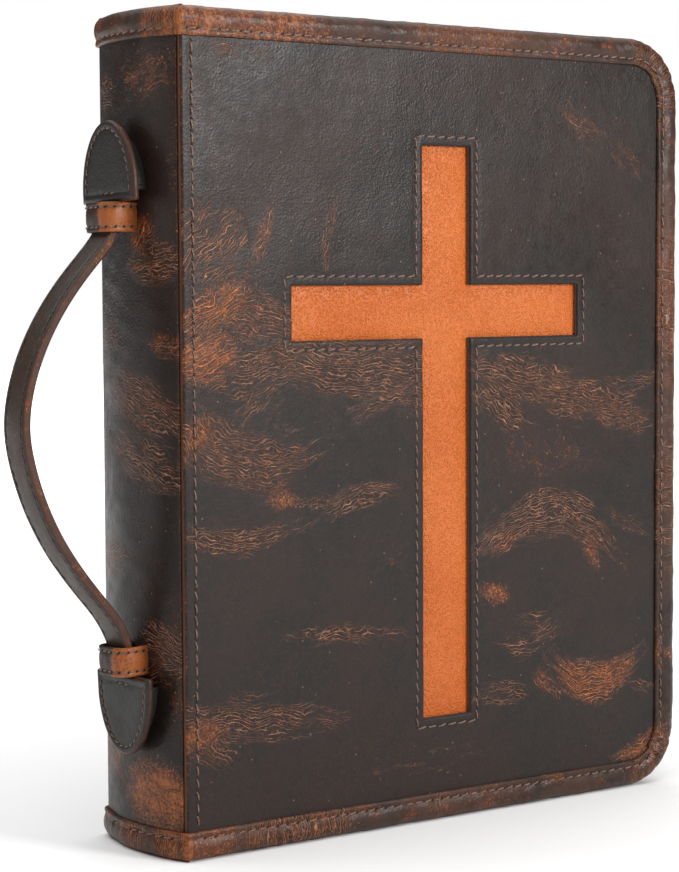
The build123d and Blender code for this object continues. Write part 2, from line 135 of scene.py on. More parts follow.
def add_studio():
    world = bpy.data.worlds.new("studio")
    bpy.context.scene.world = world
    world.use_nodes = True
    tree = world.node_tree
    tree.nodes["Background"].inputs["Color"].default_value = (1, 1, 1, 1)
    seen = tree.nodes.new("ShaderNodeLightPath").outputs["Is Camera Ray"]
    strength = tree.nodes.new("ShaderNodeMapRange")
    tree.links.new(seen, strength.inputs["Value"])
    strength.inputs["To Min"].default_value = ROOM_LIGHT
    strength.inputs["To Max"].default_value = 1.0
    tree.links.new(strength.outputs[0], tree.nodes["Background"].inputs["Strength"])
    add_area_light("overhead", (0, 0.6, 3.0), (0, 0.6, 0), (6.0, 6.0), 215)
    add_area_light("softbox_front", (0.52, -1.2, 0.56), (-0.06, 0, 0.2), (0.34, 0.4), 14)
    add_area_light("softbox_spine", (-1.5, 0.9, 0.7), (-0.08, 0, 0.13), (0.4, 1.2), 2.5)
    floor = bpy.data.objects.new("floor", bpy.data.meshes.new("floor"))
    bpy.context.scene.collection.objects.link(floor)
    floor.data.from_pydata([(-4, -4, 0), (4, -4, 0), (4, 4, 0), (-4, 4, 0)], [], [(0, 1, 2, 3)])
    pale = bpy.data.materials.new("floor")
    pale.use_nodes = True
    shader = pale.node_tree.nodes["Principled BSDF"]
    shader.inputs["Base Color"].default_value = (0.93, 0.93, 0.93, 1)
    shader.inputs["Roughness"].default_value = 0.75
    # the floor brightens into the white backdrop away from the object
    away = pale.node_tree.nodes.new("ShaderNodeVectorMath")
    away.operation = "LENGTH"
    position = pale.node_tree.nodes.new("ShaderNodeNewGeometry").outputs["Position"]
    pale.node_tree.links.new(position, away.inputs[0])
    glow = pale.node_tree.nodes.new("ShaderNodeMapRange")
    glow.inputs["From Min"].default_value = 0.8
    glow.inputs["From Max"].default_value = 1.9
    pale.node_tree.links.new(away.outputs["Value"], glow.inputs["Value"])
    shader.inputs["Emission Color"].default_value = (1, 1, 1, 1)
    pale.node_tree.links.new(glow.outputs[0], shader.inputs["Emission Strength"])
    floor.data.materials.append(pale)


# ---------------------------------------------------------------- material graphs
class Graph:
    """Writes a material's nodes as expressions. Positions are in millimetres from the fold."""

    def __init__(self, name):
        self.material = bpy.data.materials.new(name)
        self.material.use_nodes = True
        self.tree = self.material.node_tree
        self.shader = self.tree.nodes["Principled BSDF"]
        coord = self.tree.nodes.new("ShaderNodeTexCoord").outputs["Object"]
        moved = self.tree.nodes.new("ShaderNodeVectorMath")
        moved.operation = "SUBTRACT"
        self.wire(moved.inputs[0], coord)
        self.wire(moved.inputs[1], (FOLD_X, 0, 0))
        scaled = self.tree.nodes.new("ShaderNodeVectorMath")
        scaled.operation = "SCALE"
        self.wire(scaled.inputs[0], moved.outputs["Vector"])
        self.wire(scaled.inputs["Scale"], 1 / MM)
        self.place = scaled.outputs["Vector"]

    def wire(self, socket, value):
        if isinstance(value, bpy.types.NodeSocket):
            self.tree.links.new(value, socket)
        elif isinstance(value, (tuple, list)) and len(value) == 3 and socket.type == "RGBA":
            socket.default_value = (*value, 1)
        else:
            socket.default_value = value

    def math(self, operation, a, b=0.5):
        node = self.tree.nodes.new("ShaderNodeMath")
        node.operation = operation
        self.wire(node.inputs[0], a)
        self.wire(node.inputs[1], b)
        return node.outputs[0]

    def plus(self, a, b):
        return self.math("ADD", a, b)

    def times(self, a, b):
        return self.math("MULTIPLY", a, b)

    def swing(self, value, amount):
        """A value from 0 to 1 as a swing of amount about 0."""
        return self.times(self.math("SUBTRACT", value, 0.5), amount)

    def attribute(self, name, output):
        """What store() put on the mesh under this name."""
        node = self.tree.nodes.new("ShaderNodeAttribute")
        node.attribute_name = name
        return node.outputs[output]

    def stretch(self, by, turn=0.0):
        """The position turned about Y by degrees, then scaled by three factors."""
        node = self.tree.nodes.new("ShaderNodeMapping")
        node.vector_type = "POINT"
        turned = self.tree.nodes.new("ShaderNodeVectorRotate")
        turned.rotation_type = "Y_AXIS"
        self.wire(turned.inputs["Vector"], self.place)
        turned.inputs["Angle"].default_value = math.radians(turn)
        self.wire(node.inputs["Vector"], turned.outputs[0])
        node.inputs["Scale"].default_value = by
        return node.outputs[0]

    def noise(self, size, detail=4.0, rough=0.55, where=None):
        """Noise from 0 to 1 whose lumps are about size millimetres across."""
        node = self.tree.nodes.new("ShaderNodeTexNoise")
        self.wire(node.inputs["Vector"], where or self.place)
        node.inputs["Scale"].default_value = 1.0 / size
        node.inputs["Detail"].default_value = detail
        node.inputs["Roughness"].default_value = rough
        return node.outputs["Fac"]

    def cells(self, size):
        """Distance from the middle of the nearest cell, for cells about size millimetres across."""
        node = self.tree.nodes.new("ShaderNodeTexVoronoi")
        node.feature = "F1"
        self.wire(node.inputs["Vector"], self.place)
        node.inputs["Scale"].default_value = 1.0 / size
        return node.outputs["Distance"]

    def ramp(self, value, low, high, to_low=0.0, to_high=1.0, smooth=True):
        node = self.tree.nodes.new("ShaderNodeMapRange")
        node.interpolation_type = "SMOOTHSTEP" if smooth else "LINEAR"
        for socket, number in zip(node.inputs[:5], (value, low, high, to_low, to_high)):
            self.wire(socket, number)
        return node.outputs[0]

    def mix(self, share, a, b):
        node = self.tree.nodes.new("ShaderNodeMix")
        node.data_type = "RGBA"
        self.wire(node.inputs["Factor"], share)
        self.wire(node.inputs[6], a)
        self.wire(node.inputs[7], b)
        return node.outputs[2]

    def axis(self, index, where=None):
        node = self.tree.nodes.new("ShaderNodeSeparateXYZ")
        self.wire(node.inputs[0], where or self.place)
        return node.outputs[index]

    def bump(self, height, strength, distance, below=None):
        node = self.tree.nodes.new("ShaderNodeBump")
        node.inputs["Strength"].default_value = strength
        node.inputs["Distance"].default_value = distance * MM
        self.wire(node.inputs["Height"], height)
        if below is not None:
            self.wire(node.inputs["Normal"], below)
        return node.outputs[0]

    def finish(self, colour, roughness, normal=None, **settings):
        self.wire(self.shader.inputs["Base Color"], colour)
        self.wire(self.shader.inputs["Roughness"], roughness)
        if normal is not None:
            self.wire(self.shader.inputs["Normal"], normal)
        for name, value in settings.items():
            self.shader.inputs[name.replace("_", " ")].default_value = value
        return self.material


# Creases and rubbed places, judged. Each is a group of lines in a plane of two axes, across and up:
# (across, up, reach along the lines, reach across them, turn in degrees, bend, crease and rust strength)
FRONT_CREASES = [[
    (13, 176, 15, 7, 30, 0, 1.0, 0.9), (30, 198, 12, 3, 66, 0, 0.65, 0.55),
    (56, 198, 12, 2.4, 80, 0.01, 0.8, 0.1), (29, 156, 18, 8, 13, 0, 0.9, 0.25),
    (84, 145, 17, 5, 4, 0.01, 0.75, 0.0), (22, 127, 26, 10, -13, -0.010, 0.85, 0.4),
    (49, 112.5, 15, 2.5, 0, 0, 0.6, 0.35), (18, 101.5, 26, 4.6, -3, -0.006, 0.95, 0.3),
    (62, 67.5, 22, 3.4, -4, 0, 0.75, 0.2), (10, 33, 10, 5.5, -28, 0, 0.65, 0.35),
    (142, 150, 29, 7, -12, 0, 0.9, 0.4), (190, 147, 13, 4, 2, -0.01, 0.65, 0.1),
    (188, 134, 15, 5, -4, 0, 0.6, 0.4), (151, 103, 33, 8.5, -3, 0.013, 1.0, 0.25),
    (126, 76, 8, 4, -10, 0, 0.2, 0.7), (144, 65, 9, 4, -6, 0, 0.5, 0.0),
    (129, 41, 12, 6, -2, 0.01, 0.6, 0.0), (150, 42, 9, 4, -40, 0, 0.6, 0.5),
    (194, 37, 8, 3, -20, 0, 0.55, 0.2), (16, 257, 17, 3, -3, 0, 0.6, 0.15),
    (165, 238, 13, 5, -35, 0, 0.45, 0.4), (104, 20, 30, 5, 2, 0, 0.25, 0.0),
    (70, 225, 14, 6, 20, 0, 0.2, 0.1), (96, 146, 4, 18, 0, 0, 0.0, 0.25),
], [
    (11, 197, 15, 14, 40, 0, 0.85, 0.15), (9, 160, 12, 8, 20, 0, 0.9, 1.0),
    (29, 172, 13, 9, -14, 0.01, 0.85, 0.55), (67, 155, 33, 10.5, -6, -0.003, 1.0, 0.25),
    (27, 143, 11, 7, 50, 0, 0.5, 0.2), (37, 114, 7, 4.5, -10, 0, 0.3, 0.7),
    (68, 113, 14, 4, 14, 0.012, 1.0, 0.15), (27, 43, 32, 7, -7, 0, 0.8, 0.2),
    (129, 140, 15, 6, -34, -0.01, 0.95, 0.15), (167, 142, 27, 8, -10, 0, 0.75, 0.4),
    (131, 94, 6, 3.5, 25, 0, 0.9, 0.7), (171, 88, 8, 4, -72, 0, 0.45, 0.6),
    (190, 96, 14, 3.5, -20, 0, 0.5, 0.05), (143, 57, 15, 5, 8, -0.012, 0.6, 0.0),
    (172, 40, 20, 7.5, -4, -0.02, 1.0, 0.9), (195, 14, 14, 4, 18, -0.01, 0.6, 0.7),
    (186, 228, 12, 5, -40, 0, 0.35, 0.25), (84, 92, 6, 5, -60, 0, 0.25, 0.35),
    (150, 123, 32, 9, -4, 0, 0.1, 0.33), (5, 135, 6, 9, -60, 0, 0.7, 0.7),
    (4, 40, 6, 12, -80, 0, 0.4, 0.75),
]]
SPINE_CREASES = [[
    (-14, 190, 14, 7.5, -2, 0, 1.0, 0.6), (-19, 164, 8, 4.5, 5, 0, 0.6, 0.7),
    (-8, 145, 20, 8.5, 18, 0, 1.0, 0.6), (-16, 69, 11, 7, 22, 0.01, 0.9, 0.45),
    (-13, 20, 18, 12, 10, 0, 0.45, 0.9), (-12, 249, 16, 9, -6, 0, 0.4, 0.45),
    (14, 204, 12, 7, 12, 0, 0.7, 0.5), (13, 96, 13, 7, -8, 0, 0.7, 0.4), (16, 30, 11, 10, 5, 0, 0.4, 0.6),
], [
    (-8, 127, 20, 8.5, 20, 0, 0.95, 0.4), (-7, 199, 8, 5, -35, 0, 0.7, 0.9),
    (-17, 60, 10, 4, -8, 0, 0.8, 0.45), (-21, 60, 4, 26, 0, 0, 0.2, 0.35),
    (15, 165, 12, 6, -10, 0, 0.6, 0.4), (16, 245, 10, 8, 8, 0, 0.5, 0.4),
    (-22, 225, 3, 24, 0, 0, 0.15, 0.3), (12, 60, 12, 5, 14, 0, 0.5, 0.3),
]]
BACK_CREASES = [[
    (48, 196, 34, 8, 14, 0.004, 0.95, 0.55), (150, 212, 24, 6, -12, 0, 0.8, 0.4),
    (118, 118, 38, 8, 5, -0.004, 0.9, 0.35), (34, 66, 26, 7, -8, 0, 0.85, 0.45),
    (168, 52, 22, 8, 10, -0.012, 1.0, 0.8), (12, 130, 14, 10, 22, 0, 0.8, 0.6),
    (90, 28, 30, 5, 3, 0, 0.5, 0.2), (186, 152, 12, 9, 30, 0, 0.7, 0.5),
], [
    (76, 158, 24, 5, -10, 0.008, 0.8, 0.2), (22, 168, 18, 6, 30, 0, 0.7, 0.5),
    (140, 76, 16, 6, -25, 0, 0.7, 0.3), (70, 92, 20, 4, 6, 0, 0.6, 0.2),
    (176, 186, 10, 5, -50, 0, 0.5, 0.4), (110, 236, 30, 6, 2, 0, 0.4, 0.2),
    (8, 230, 9, 22, 80, 0, 0.3, 0.4), (60, 240, 8, 6, 40, 0, 0.4, 0.4),
]]


def crease_field(creases, across, up):
    """Where each point lies along and across its strongest crease group, how creased it is, and how rusty.

    The first three come as one array.
    """
    best = np.full(across.shape, -1.0)
    along, over, rust = np.zeros_like(best), np.zeros_like(best), np.zeros_like(best)
    for number, (ca, cu, reach, wide, turn, bend, strength, glow) in enumerate(creases):
        c, s = math.cos(math.radians(turn)), math.sin(math.radians(turn))
        u = (across - ca) * c + (up - cu) * s
        v = (up - cu) * c - (across - ca) * s + bend * u**2
        far = np.sqrt((u / reach) ** 2 + (v / wide) ** 2)
        fade = smooth_step((GROUP_REACH - far) / GROUP_FADE)
        creased = fade * max(strength, LEAST_STRENGTH)
        closer = -far > best if number == 0 else creased > best
        # each group reads the noise at a place of its own
        along = np.where(closer, u + 61.0 * number, along)
        over = np.where(closer, v + 23.0 * number, over)
        best = np.where(closer, creased, best)
        rust = np.maximum(rust, fade * glow)
    return np.stack([along, over, np.clip(best, 0, 1)], -1), rust


def set_creases(piece, groups, across, up, extra_rust=None):
    """Stores crease fields and rust on the points of a mesh, for the leather material to read."""
    rust = np.zeros(across.shape) if extra_rust is None else extra_rust
    for letter, creases in zip("ab", groups):
        field, glow = crease_field(creases, across, up)
        rust = np.maximum(rust, glow)
        store(piece, "crease_" + letter, field)
    store(piece, "rust", rust)


def store(piece, name, values):
    """Stores a number or three numbers for each point of a mesh."""
    values = np.asarray(values, float)
    kind, key = ("FLOAT_VECTOR", "vector") if values.ndim == 2 else ("FLOAT", "value")
    piece.data.attributes.new(name, kind, "POINT").data.foreach_set(key, values.ravel())


def flat_noise(g, u, v, long, wide, detail=3.0, rough=0.55):
    """Noise from 0 to 1 in a crease field, stretched along the creases."""
    join = g.tree.nodes.new("ShaderNodeCombineXYZ")
    g.wire(join.inputs[0], g.times(u, 1 / long))
    g.wire(join.inputs[1], g.times(v, 1 / wide))
    node = g.tree.nodes.new("ShaderNodeTexNoise")
    node.noise_dimensions = "2D"
    node.inputs["Scale"].default_value = 1.0
    node.inputs["Detail"].default_value = detail
    node.inputs["Roughness"].default_value = rough
    g.wire(node.inputs["Vector"], join.outputs[0])
    return node.outputs["Fac"]


def crease_lines(g, name):
    """Fine wavering lines that follow a crease field, and how creased the leather is there."""
    field = g.attribute(name, "Vector")
    u, v, amount = (g.axis(k, field) for k in range(3))
    sway = g.swing(g.noise(12, 2), 6.0)
    jag = g.swing(g.noise(1.8, 2, 0.6), 0.55)
    v = g.plus(g.plus(v, sway), jag)
    streak = flat_noise(g, u, v, 13, 3.0)
    ragged = g.plus(amount, g.swing(streak, 1.7))
    shown = g.times(g.ramp(ragged, 0.22, 0.95), g.ramp(amount, 0.0, 0.22))
    # nearly parallel lines that drift together and apart, broken here and there
    drift = g.swing(flat_noise(g, u, v, 10, 5.0, 2), 3.6)
    turns = g.plus(g.times(v, 1 / CREASE_GAP), drift)
    wave = g.math("SINE", g.times(turns, 2 * math.pi))
    broken = g.ramp(flat_noise(g, u, v, 7.0, 1.2, 2), 0.34, 0.52)
    lines = g.times(g.ramp(wave, 0.70, 1.0), broken)
    fold = g.math("ABSOLUTE", g.math("SUBTRACT", flat_noise(g, u, v, 4.0, 1.8, 2.0, 0.5), 0.5))
    lines = g.math("MAXIMUM", lines, g.times(g.ramp(fold, 0.024, 0.003), 0.6))
    return lines, shown


def worn_leather(name, creased=False, mottle=0.0, dark=(0.0095, 0.0085, 0.0075),
                 brown=(0.018, 0.0095, 0.0075),
                 rust=(0.100, 0.029, 0.010), bright=(0.42, 0.130, 0.036), rough=0.34):
    """Waxed pull-up leather: near black, with pale creases and rust where it has been bent or rubbed, and
    painted shade between the crease lines.
    """
    g = Graph(name)
    pale = (0.40, 0.180, 0.098)
    colour = g.mix(g.ramp(g.noise(38, 4, 0.6), 0.35, 0.65), dark, brown)
    colour = g.mix(g.ramp(g.noise(2.4, 4, 0.7), 0.35, 0.75, 0.0, 0.35), colour, tuple(c * 1.7 for c in brown))
    rusty = None
    if mottle:
        blotch = g.plus(g.noise(11, 5, 0.62), g.swing(g.noise(1.7, 3), 0.22))
        rusty = g.times(g.ramp(blotch, 0.62 - 0.3 * mottle, 0.78 - 0.2 * mottle), min(1.0, mottle * 1.2))
    if creased:
        glow = g.attribute("rust", "Fac")
        ragged = g.plus(glow, g.swing(g.noise(6, 5, 0.65), 0.9))
        grainy = g.swing(g.noise(1.1, 3, 0.7), 1.3)
        glow = g.times(g.ramp(g.plus(ragged, grainy), 0.15, 1.15), g.ramp(glow, 0.0, 0.3))
        rusty = glow if rusty is None else g.math("MAXIMUM", rusty, glow)
    height = g.plus(g.times(g.cells(0.8), 0.35), g.times(g.noise(1.6, 3), 0.5))
    if rusty is not None:
        colour = g.mix(g.ramp(rusty, 0.0, 0.8), colour, rust)
        colour = g.mix(g.ramp(rusty, 0.55, 1.0, 0.0, 0.55), colour, bright)
        speck = g.times(g.ramp(g.noise(0.7, 2, 0.5), 0.56, 0.70), g.ramp(rusty, 0.02, 0.5, 0.05, 0.75))
        colour = g.mix(speck, colour, bright)
    if creased:
        for letter in "ab":
            lines, amount = crease_lines(g, "crease_" + letter)
            shown = g.times(g.times(lines, amount), g.ramp(g.noise(4, 3, 0.6), 0.35, 0.62, 0.3, 1.0))
            tone = g.mix(g.ramp(rusty, 0.2, 0.9), pale, tuple(min(1, c * 1.3) for c in bright))
            colour = g.mix(g.times(amount, 0.36), colour, tuple(c * 0.85 for c in rust))
            # painted shade: the leather is darkened between the crease lines, standing in for the shade in
            # the creases' hollows
            painted_crease_shade = g.times(g.ramp(lines, 0.35, 0.0), g.times(amount, 0.7))
            colour = g.mix(painted_crease_shade, colour, (0.007, 0.004, 0.0035))
            colour = g.mix(shown, colour, tone)
            height = g.plus(height, g.times(shown, 1.6))
    dot = g.times(g.ramp(g.cells(5.5), 0.075, 0.04), 0.35)
    colour = g.mix(dot, colour, pale)
    normal = g.bump(height, 0.62, 0.24)
    normal = g.bump(g.noise(16, 2), 0.30, 0.5, normal)
    roughness = g.ramp(g.plus(g.noise(4, 4, 0.65), g.noise(40, 2)), 0.7, 1.3, rough - 0.06, rough + 0.14,
                       False)
    return g.finish(colour, roughness, normal, Specular_IOR_Level=0.24)


def tan_leather():
    g = Graph("tan_pebbled_leather")
    cloud = g.ramp(g.noise(30, 4, 0.6), 0.3, 0.7)
    colour = g.mix(cloud, (0.52, 0.118, 0.014), (0.62, 0.165, 0.032))
    speck = g.ramp(g.cells(0.8), 0.1, 0.6)
    colour = g.mix(g.times(speck, 0.5), colour, (0.38, 0.070, 0.008))
    stretch = g.noise(1.1, 3, 0.5, g.stretch((1.0, 1.0, 0.12), -4))
    colour = g.mix(g.ramp(stretch, 0.60, 0.8, 0.0, 0.10), colour, (0.72, 0.30, 0.13))
    height = g.plus(g.times(speck, 1.3), g.times(g.noise(1.7, 3), 0.8))
    normal = g.bump(height, 0.9, 0.28)
    return g.finish(colour, g.ramp(g.noise(4, 3), 0.3, 0.7, 0.36, 0.54), normal, Specular_IOR_Level=0.3)


def cut_edge():
    g = Graph("cut_leather_edge")
    fibre = g.noise(0.5, 3, 0.7)
    colour = g.mix(g.ramp(fibre, 0.3, 0.7), (0.055, 0.018, 0.008), (0.16, 0.055, 0.022))
    return g.finish(colour, 0.7, g.bump(fibre, 0.5, 0.1))


def thread(name="thread", dark=(0.055, 0.023, 0.014), light=(0.25, 0.120, 0.075)):
    g = Graph(name)
    twist = g.noise(0.35, 2, 0.5, g.stretch((1, 1, 1), 35))
    colour = g.mix(g.ramp(twist, 0.35, 0.65), dark, light)
    return g.finish(colour, 0.6, g.bump(twist, 0.6, 0.08), Sheen_Weight=0.2)


def plain(name, dark, light, size, rough, strength=0.4, distance=0.1, **settings):
    """A surface with grain of about size millimetres and a slow change of tone."""
    g = Graph(name)
    grain = g.noise(size, 3, 0.6)
    tone = g.plus(g.times(grain, 0.6), g.times(g.noise(size * 30, 2), 0.4))
    colour = g.mix(g.ramp(tone, 0.35, 0.65), dark, light)
    roughness = g.ramp(grain, 0.3, 0.7, rough - 0.08, rough + 0.08)
    return g.finish(colour, roughness, g.bump(grain, strength, distance), **settings)


def twill(name, dark, light, pitch=0.9, turn=45.0, rough=0.85):
    """Woven cloth with a diagonal rib."""
    g = Graph(name)
    across = g.axis(0, g.stretch((1, 1, 1), turn))
    rib = g.math("ABSOLUTE", g.math("SINE", g.times(across, math.pi / pitch)))
    along = g.math("ABSOLUTE", g.math("SINE", g.times(g.axis(2), 2 * math.pi / pitch)))
    weave = g.times(rib, g.ramp(along, 0, 1, 0.6, 1.0))
    tone = g.plus(weave, g.swing(g.noise(6, 4), 0.5))
    colour = g.mix(g.ramp(tone, 0.1, 1.0), dark, light)
    return g.finish(colour, rough, g.bump(weave, 0.6, 0.15), Sheen_Weight=0.15)


def paper(name, edge=False):
    """Page paper. The block's sides show the edges of its pages as fine lines."""
    g = Graph(name)
    fibre = g.noise(1.2, 4, 0.65)
    colour = g.mix(g.ramp(fibre, 0.3, 0.7), (0.74, 0.67, 0.52), (0.83, 0.77, 0.63))
    normal = g.bump(fibre, 0.12, 0.05)
    if edge:
        page = g.noise(0.16, 2, 0.7, g.stretch((0.02, 1.0, 0.02)))
        facing = g.tree.nodes.new("ShaderNodeSeparateXYZ")
        g.wire(facing.inputs[0], g.tree.nodes.new("ShaderNodeNewGeometry").outputs["Normal"])
        cut = g.ramp(g.math("ABSOLUTE", facing.outputs[1]), 0.8, 0.4)
        dark = g.times(g.ramp(page, 0.65, 0.35), cut)
        colour = g.mix(dark, colour, (0.42, 0.34, 0.22))
        page = g.times(page, cut)
        normal = g.bump(page, 0.5, 0.08, normal)
    return g.finish(colour, 0.75, normal)


def metal(name, colour, dark, rough):
    g = Graph(name)
    tarnish = g.ramp(g.noise(1.6, 5, 0.65), 0.35, 0.68)
    scratch = g.noise(0.5, 3, 0.6, g.stretch((0.1, 1, 1), 20))
    mixed = g.mix(tarnish, colour, dark)
    roughness = g.ramp(g.plus(tarnish, scratch), 0.2, 1.6, rough - 0.08, rough + 0.25)
    return g.finish(mixed, roughness, g.bump(scratch, 0.25, 0.04), Metallic=1.0)


# ---------------------------------------------------------------- mesh helpers
def add_mesh(name, points, faces, materials, body, face_material=None):
    """A smooth mesh piece from points in millimetres, with the given materials, tied to body when body is a
    name.
    """
    data = bpy.data.meshes.new(name)
    data.from_pydata(to_row(points).tolist(), [], faces)
    for material in materials:
        data.materials.append(material)
    if face_material is not None:
        data.polygons.foreach_set("material_index", face_material)
    data.polygons.foreach_set("use_smooth", [True] * len(data.polygons))
    mesh = bmesh.new()
    mesh.from_mesh(data)
    bmesh.ops.recalc_face_normals(mesh, faces=mesh.faces)
    mesh.to_mesh(data)
    mesh.free()
    piece = bpy.data.objects.new(name, data)
    bpy.context.scene.collection.objects.link(piece)
    if isinstance(body, str):
        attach(piece, body)
    else:
        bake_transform(piece)
    return piece


def grid_faces(rows, columns, close_columns=False, first=0):
    """Quads between neighbouring rows of points."""
    faces = []
    for r in range(rows - 1):
        for c in range(columns if close_columns else columns - 1):
            d = (c + 1) % columns
            faces.append((first + r * columns + c, first + (r + 1) * columns + c,
                          first + (r + 1) * columns + d, first + r * columns + d))
    return faces


def tube_faces(rows, columns):
    """Quads between rows of points that are rings, and the two ends."""
    last = (rows - 1) * columns
    return grid_faces(rows, columns, True) + [tuple(range(columns)), tuple(range(last, last + columns))]


class Ripple:
    """A smooth random height: a sum of waves of about one wavelength, in two directions."""

    def __init__(self, wavelength, amount, count=9):
        angle = rng.uniform(0, 2 * math.pi, count)
        rate = 2 * math.pi / (wavelength * rng.uniform(0.6, 1.7, count))
        self.ku, self.kv = rate * np.cos(angle), rate * np.sin(angle)
        self.phase = rng.uniform(0, 2 * math.pi, count)
        self.amount = amount / math.sqrt(count)

    def __call__(self, u, v):
        waves = np.multiply.outer(u, self.ku) + np.multiply.outer(v, self.kv) + self.phase
        return self.amount * np.sin(waves).sum(-1)


def edge_line(inset, start=0.0, step=1.0, radius=None):
    """Points and outward directions along a cover's bottom, fore-edge and top, drawn in by inset."""
    r = CORNER_R - inset
    straight = np.linspace(start, WIDTH - CORNER_R, int((WIDTH - CORNER_R) / step))
    tall = np.linspace(CORNER_R, HEIGHT - CORNER_R, int((HEIGHT - 2 * CORNER_R) / step))
    turn = np.linspace(0, math.pi / 2, int(CORNER_R * 1.6 / step))[1:-1]
    bottom = np.stack([straight, np.full_like(straight, inset)], -1)
    low = np.stack([WIDTH - CORNER_R + r * np.sin(turn), CORNER_R - r * np.cos(turn)], -1)
    side = np.stack([np.full_like(tall, WIDTH - inset), tall], -1)
    high = np.stack([WIDTH - CORNER_R + r * np.cos(turn), HEIGHT - CORNER_R + r * np.sin(turn)], -1)
    top = np.stack([straight[::-1], np.full_like(straight, HEIGHT - inset)], -1)
    out = np.concatenate([
        np.tile((0.0, -1.0), (len(straight), 1)), np.stack([np.sin(turn), -np.cos(turn)], -1),
        np.tile((1.0, 0.0), (len(tall), 1)), np.stack([np.cos(turn), np.sin(turn)], -1),
        np.tile((0.0, 1.0), (len(straight), 1))])
    return np.concatenate([bottom, low, side, high, top]), out


# ---------------------------------------------------------------- stitches
THREAD_STEPS, THREAD_SIDES = (-1.0, -0.85, -0.5, 0.0, 0.5, 0.85, 1.0), 7
# size, shape, turn and sides of the flat disc of painted shade at each stitch hole
HOLE_HALF, HOLE_SHAPE, HOLE_TURN, HOLE_SIDES = 0.62, 0.62, 0.6, 9
LINING_STITCH = {"pitch": 3.2, "slant": 4.0, "radius": 0.2, "colour": "dark_thread"}


def stitch_row(name, line, normals, body, slot, pitch=STITCH_PITCH, slant=10.0, radius=0.29, colour="thread"):
    """A row of lock stitches along a line of points on a surface: one flat disc of painted shade for each
    stitch's hole, thread between.

    normals gives the surface's direction at each point, or one direction for all.
    """
    line = np.asarray(line, float)
    normals = np.broadcast_to(np.asarray(normals, float), line.shape)
    along = distance_along(line)
    count = max(1, round(along[-1] / pitch))
    places = (np.arange(count) + 0.5) * along[-1] / count
    centre = np.stack([np.interp(places, along, line[:, k]) for k in range(3)], -1)
    ahead = np.stack([np.interp(places + 0.3, along, line[:, k]) for k in range(3)], -1)
    behind = np.stack([np.interp(places - 0.3, along, line[:, k]) for k in range(3)], -1)
    tangent = ahead - behind
    tangent /= np.linalg.norm(tangent, axis=1, keepdims=True)
    normal = np.stack([np.interp(places, along, normals[:, k]) for k in range(3)], -1)
    normal -= (normal * tangent).sum(1, keepdims=True) * tangent
    normal /= np.linalg.norm(normal, axis=1, keepdims=True)
    side = np.cross(normal, tangent)
    step = along[-1] / count
    points, faces, kinds = [], [], []
    for i in range(count):
        turn = math.radians(slant + rng.normal(0, 3))
        way = math.cos(turn) * tangent[i] + math.sin(turn) * side[i]
        across = np.cross(normal[i], way)
        half = (step - 0.75) / 2 * (1 + rng.normal(0, 0.03))
        first = len(points)
        for u in THREAD_STEPS:
            thick = radius * (1 - 0.45 * abs(u) ** 3)
            rise = radius * 0.5 * (1 - u * u) - radius * 1.2 * abs(u) ** 6
            middle = centre[i] + way * half * u + normal[i] * rise
            for k in range(THREAD_SIDES):
                a = 2 * math.pi * k / THREAD_SIDES
                points.append(middle + across * thick * math.cos(a) + normal[i] * thick * 0.8 * math.sin(a))
        stitch = [tuple(first + v for v in face) for face in tube_faces(len(THREAD_STEPS), THREAD_SIDES)]
        faces += stitch
        kinds += [0] * len(stitch)
        # painted shade: a flat near-black disc on the surface stands for the shade inside the stitch hole
        hole_shade = centre[i] + tangent[i] * (step / 2) + normal[i] * 0.06
        first = len(points)
        long = HOLE_HALF * (math.cos(HOLE_TURN) * tangent[i] + math.sin(HOLE_TURN) * side[i])
        wide = np.cross(normal[i], long) * HOLE_SHAPE
        for k in range(HOLE_SIDES):
            a = 2 * math.pi * k / HOLE_SIDES
            points.append(hole_shade + long * math.cos(a) + wide * math.sin(a))
        faces.append(tuple(range(first, first + HOLE_SIDES)))
        kinds.append(1)
    return add_mesh(name, points, faces, [MATERIALS[colour], MATERIALS["hole_shade"]], body, kinds)


# ---------------------------------------------------------------- covers
def cross_outline(grow):
    """Corners of the cross window drawn out by grow, in order, in X and Z."""
    c = CROSS
    left, right, bl, br = c["left"] - grow, c["right"] + grow, c["bar_left"] - grow, c["bar_right"] + grow
    low, high, al, ah = c["bottom"] - grow, c["top"] + grow, c["arm_low"] - grow, c["arm_high"] + grow
    return [(bl, low), (br, low), (br, al), (right, al), (right, ah), (br, ah), (br, high), (bl, high),
            (bl, ah),
            (left, ah), (left, al), (bl, al)]


def window_edges(window):
    """Places of the window's edges in X and in Z, or nothing for a cover that has no window."""
    if not window:
        return [], []
    c = CROSS
    edges_x = [c["left"], c["right"], c["bar_left"], c["bar_right"]]
    return edges_x, [c["bottom"], c["top"], c["arm_low"], c["arm_high"]]


def window_distance(x, z):
    """Distance from the window, negative inside it."""
    def to_box(x0, x1, z0, z1):
        dx = np.maximum(x0 - x, x - x1)
        dz = np.maximum(z0 - z, z - z1)
        outside = np.hypot(np.maximum(dx, 0), np.maximum(dz, 0))
        return np.where((dx < 0) & (dz < 0), np.maximum(dx, dz), outside)
    c = CROSS
    upright = to_box(c["bar_left"], c["bar_right"], c["bottom"], c["top"])
    arms = to_box(c["left"], c["right"], c["arm_low"], c["arm_high"])
    return np.minimum(upright, arms)


def lines_between(low, high, features, spacing):
    """Grid lines from low to high that also pass beside each feature."""
    near = [f + d for f in features for d in (-0.9, -0.45, -0.18, 0, 0.18, 0.45, 0.9)]
    every = np.arange(low, high, spacing)
    every = [v for v in every if all(abs(v - n) > spacing * 0.45 for n in near)]
    return np.array(sorted(set([low, high, *[n for n in near if low <= n <= high], *every])))


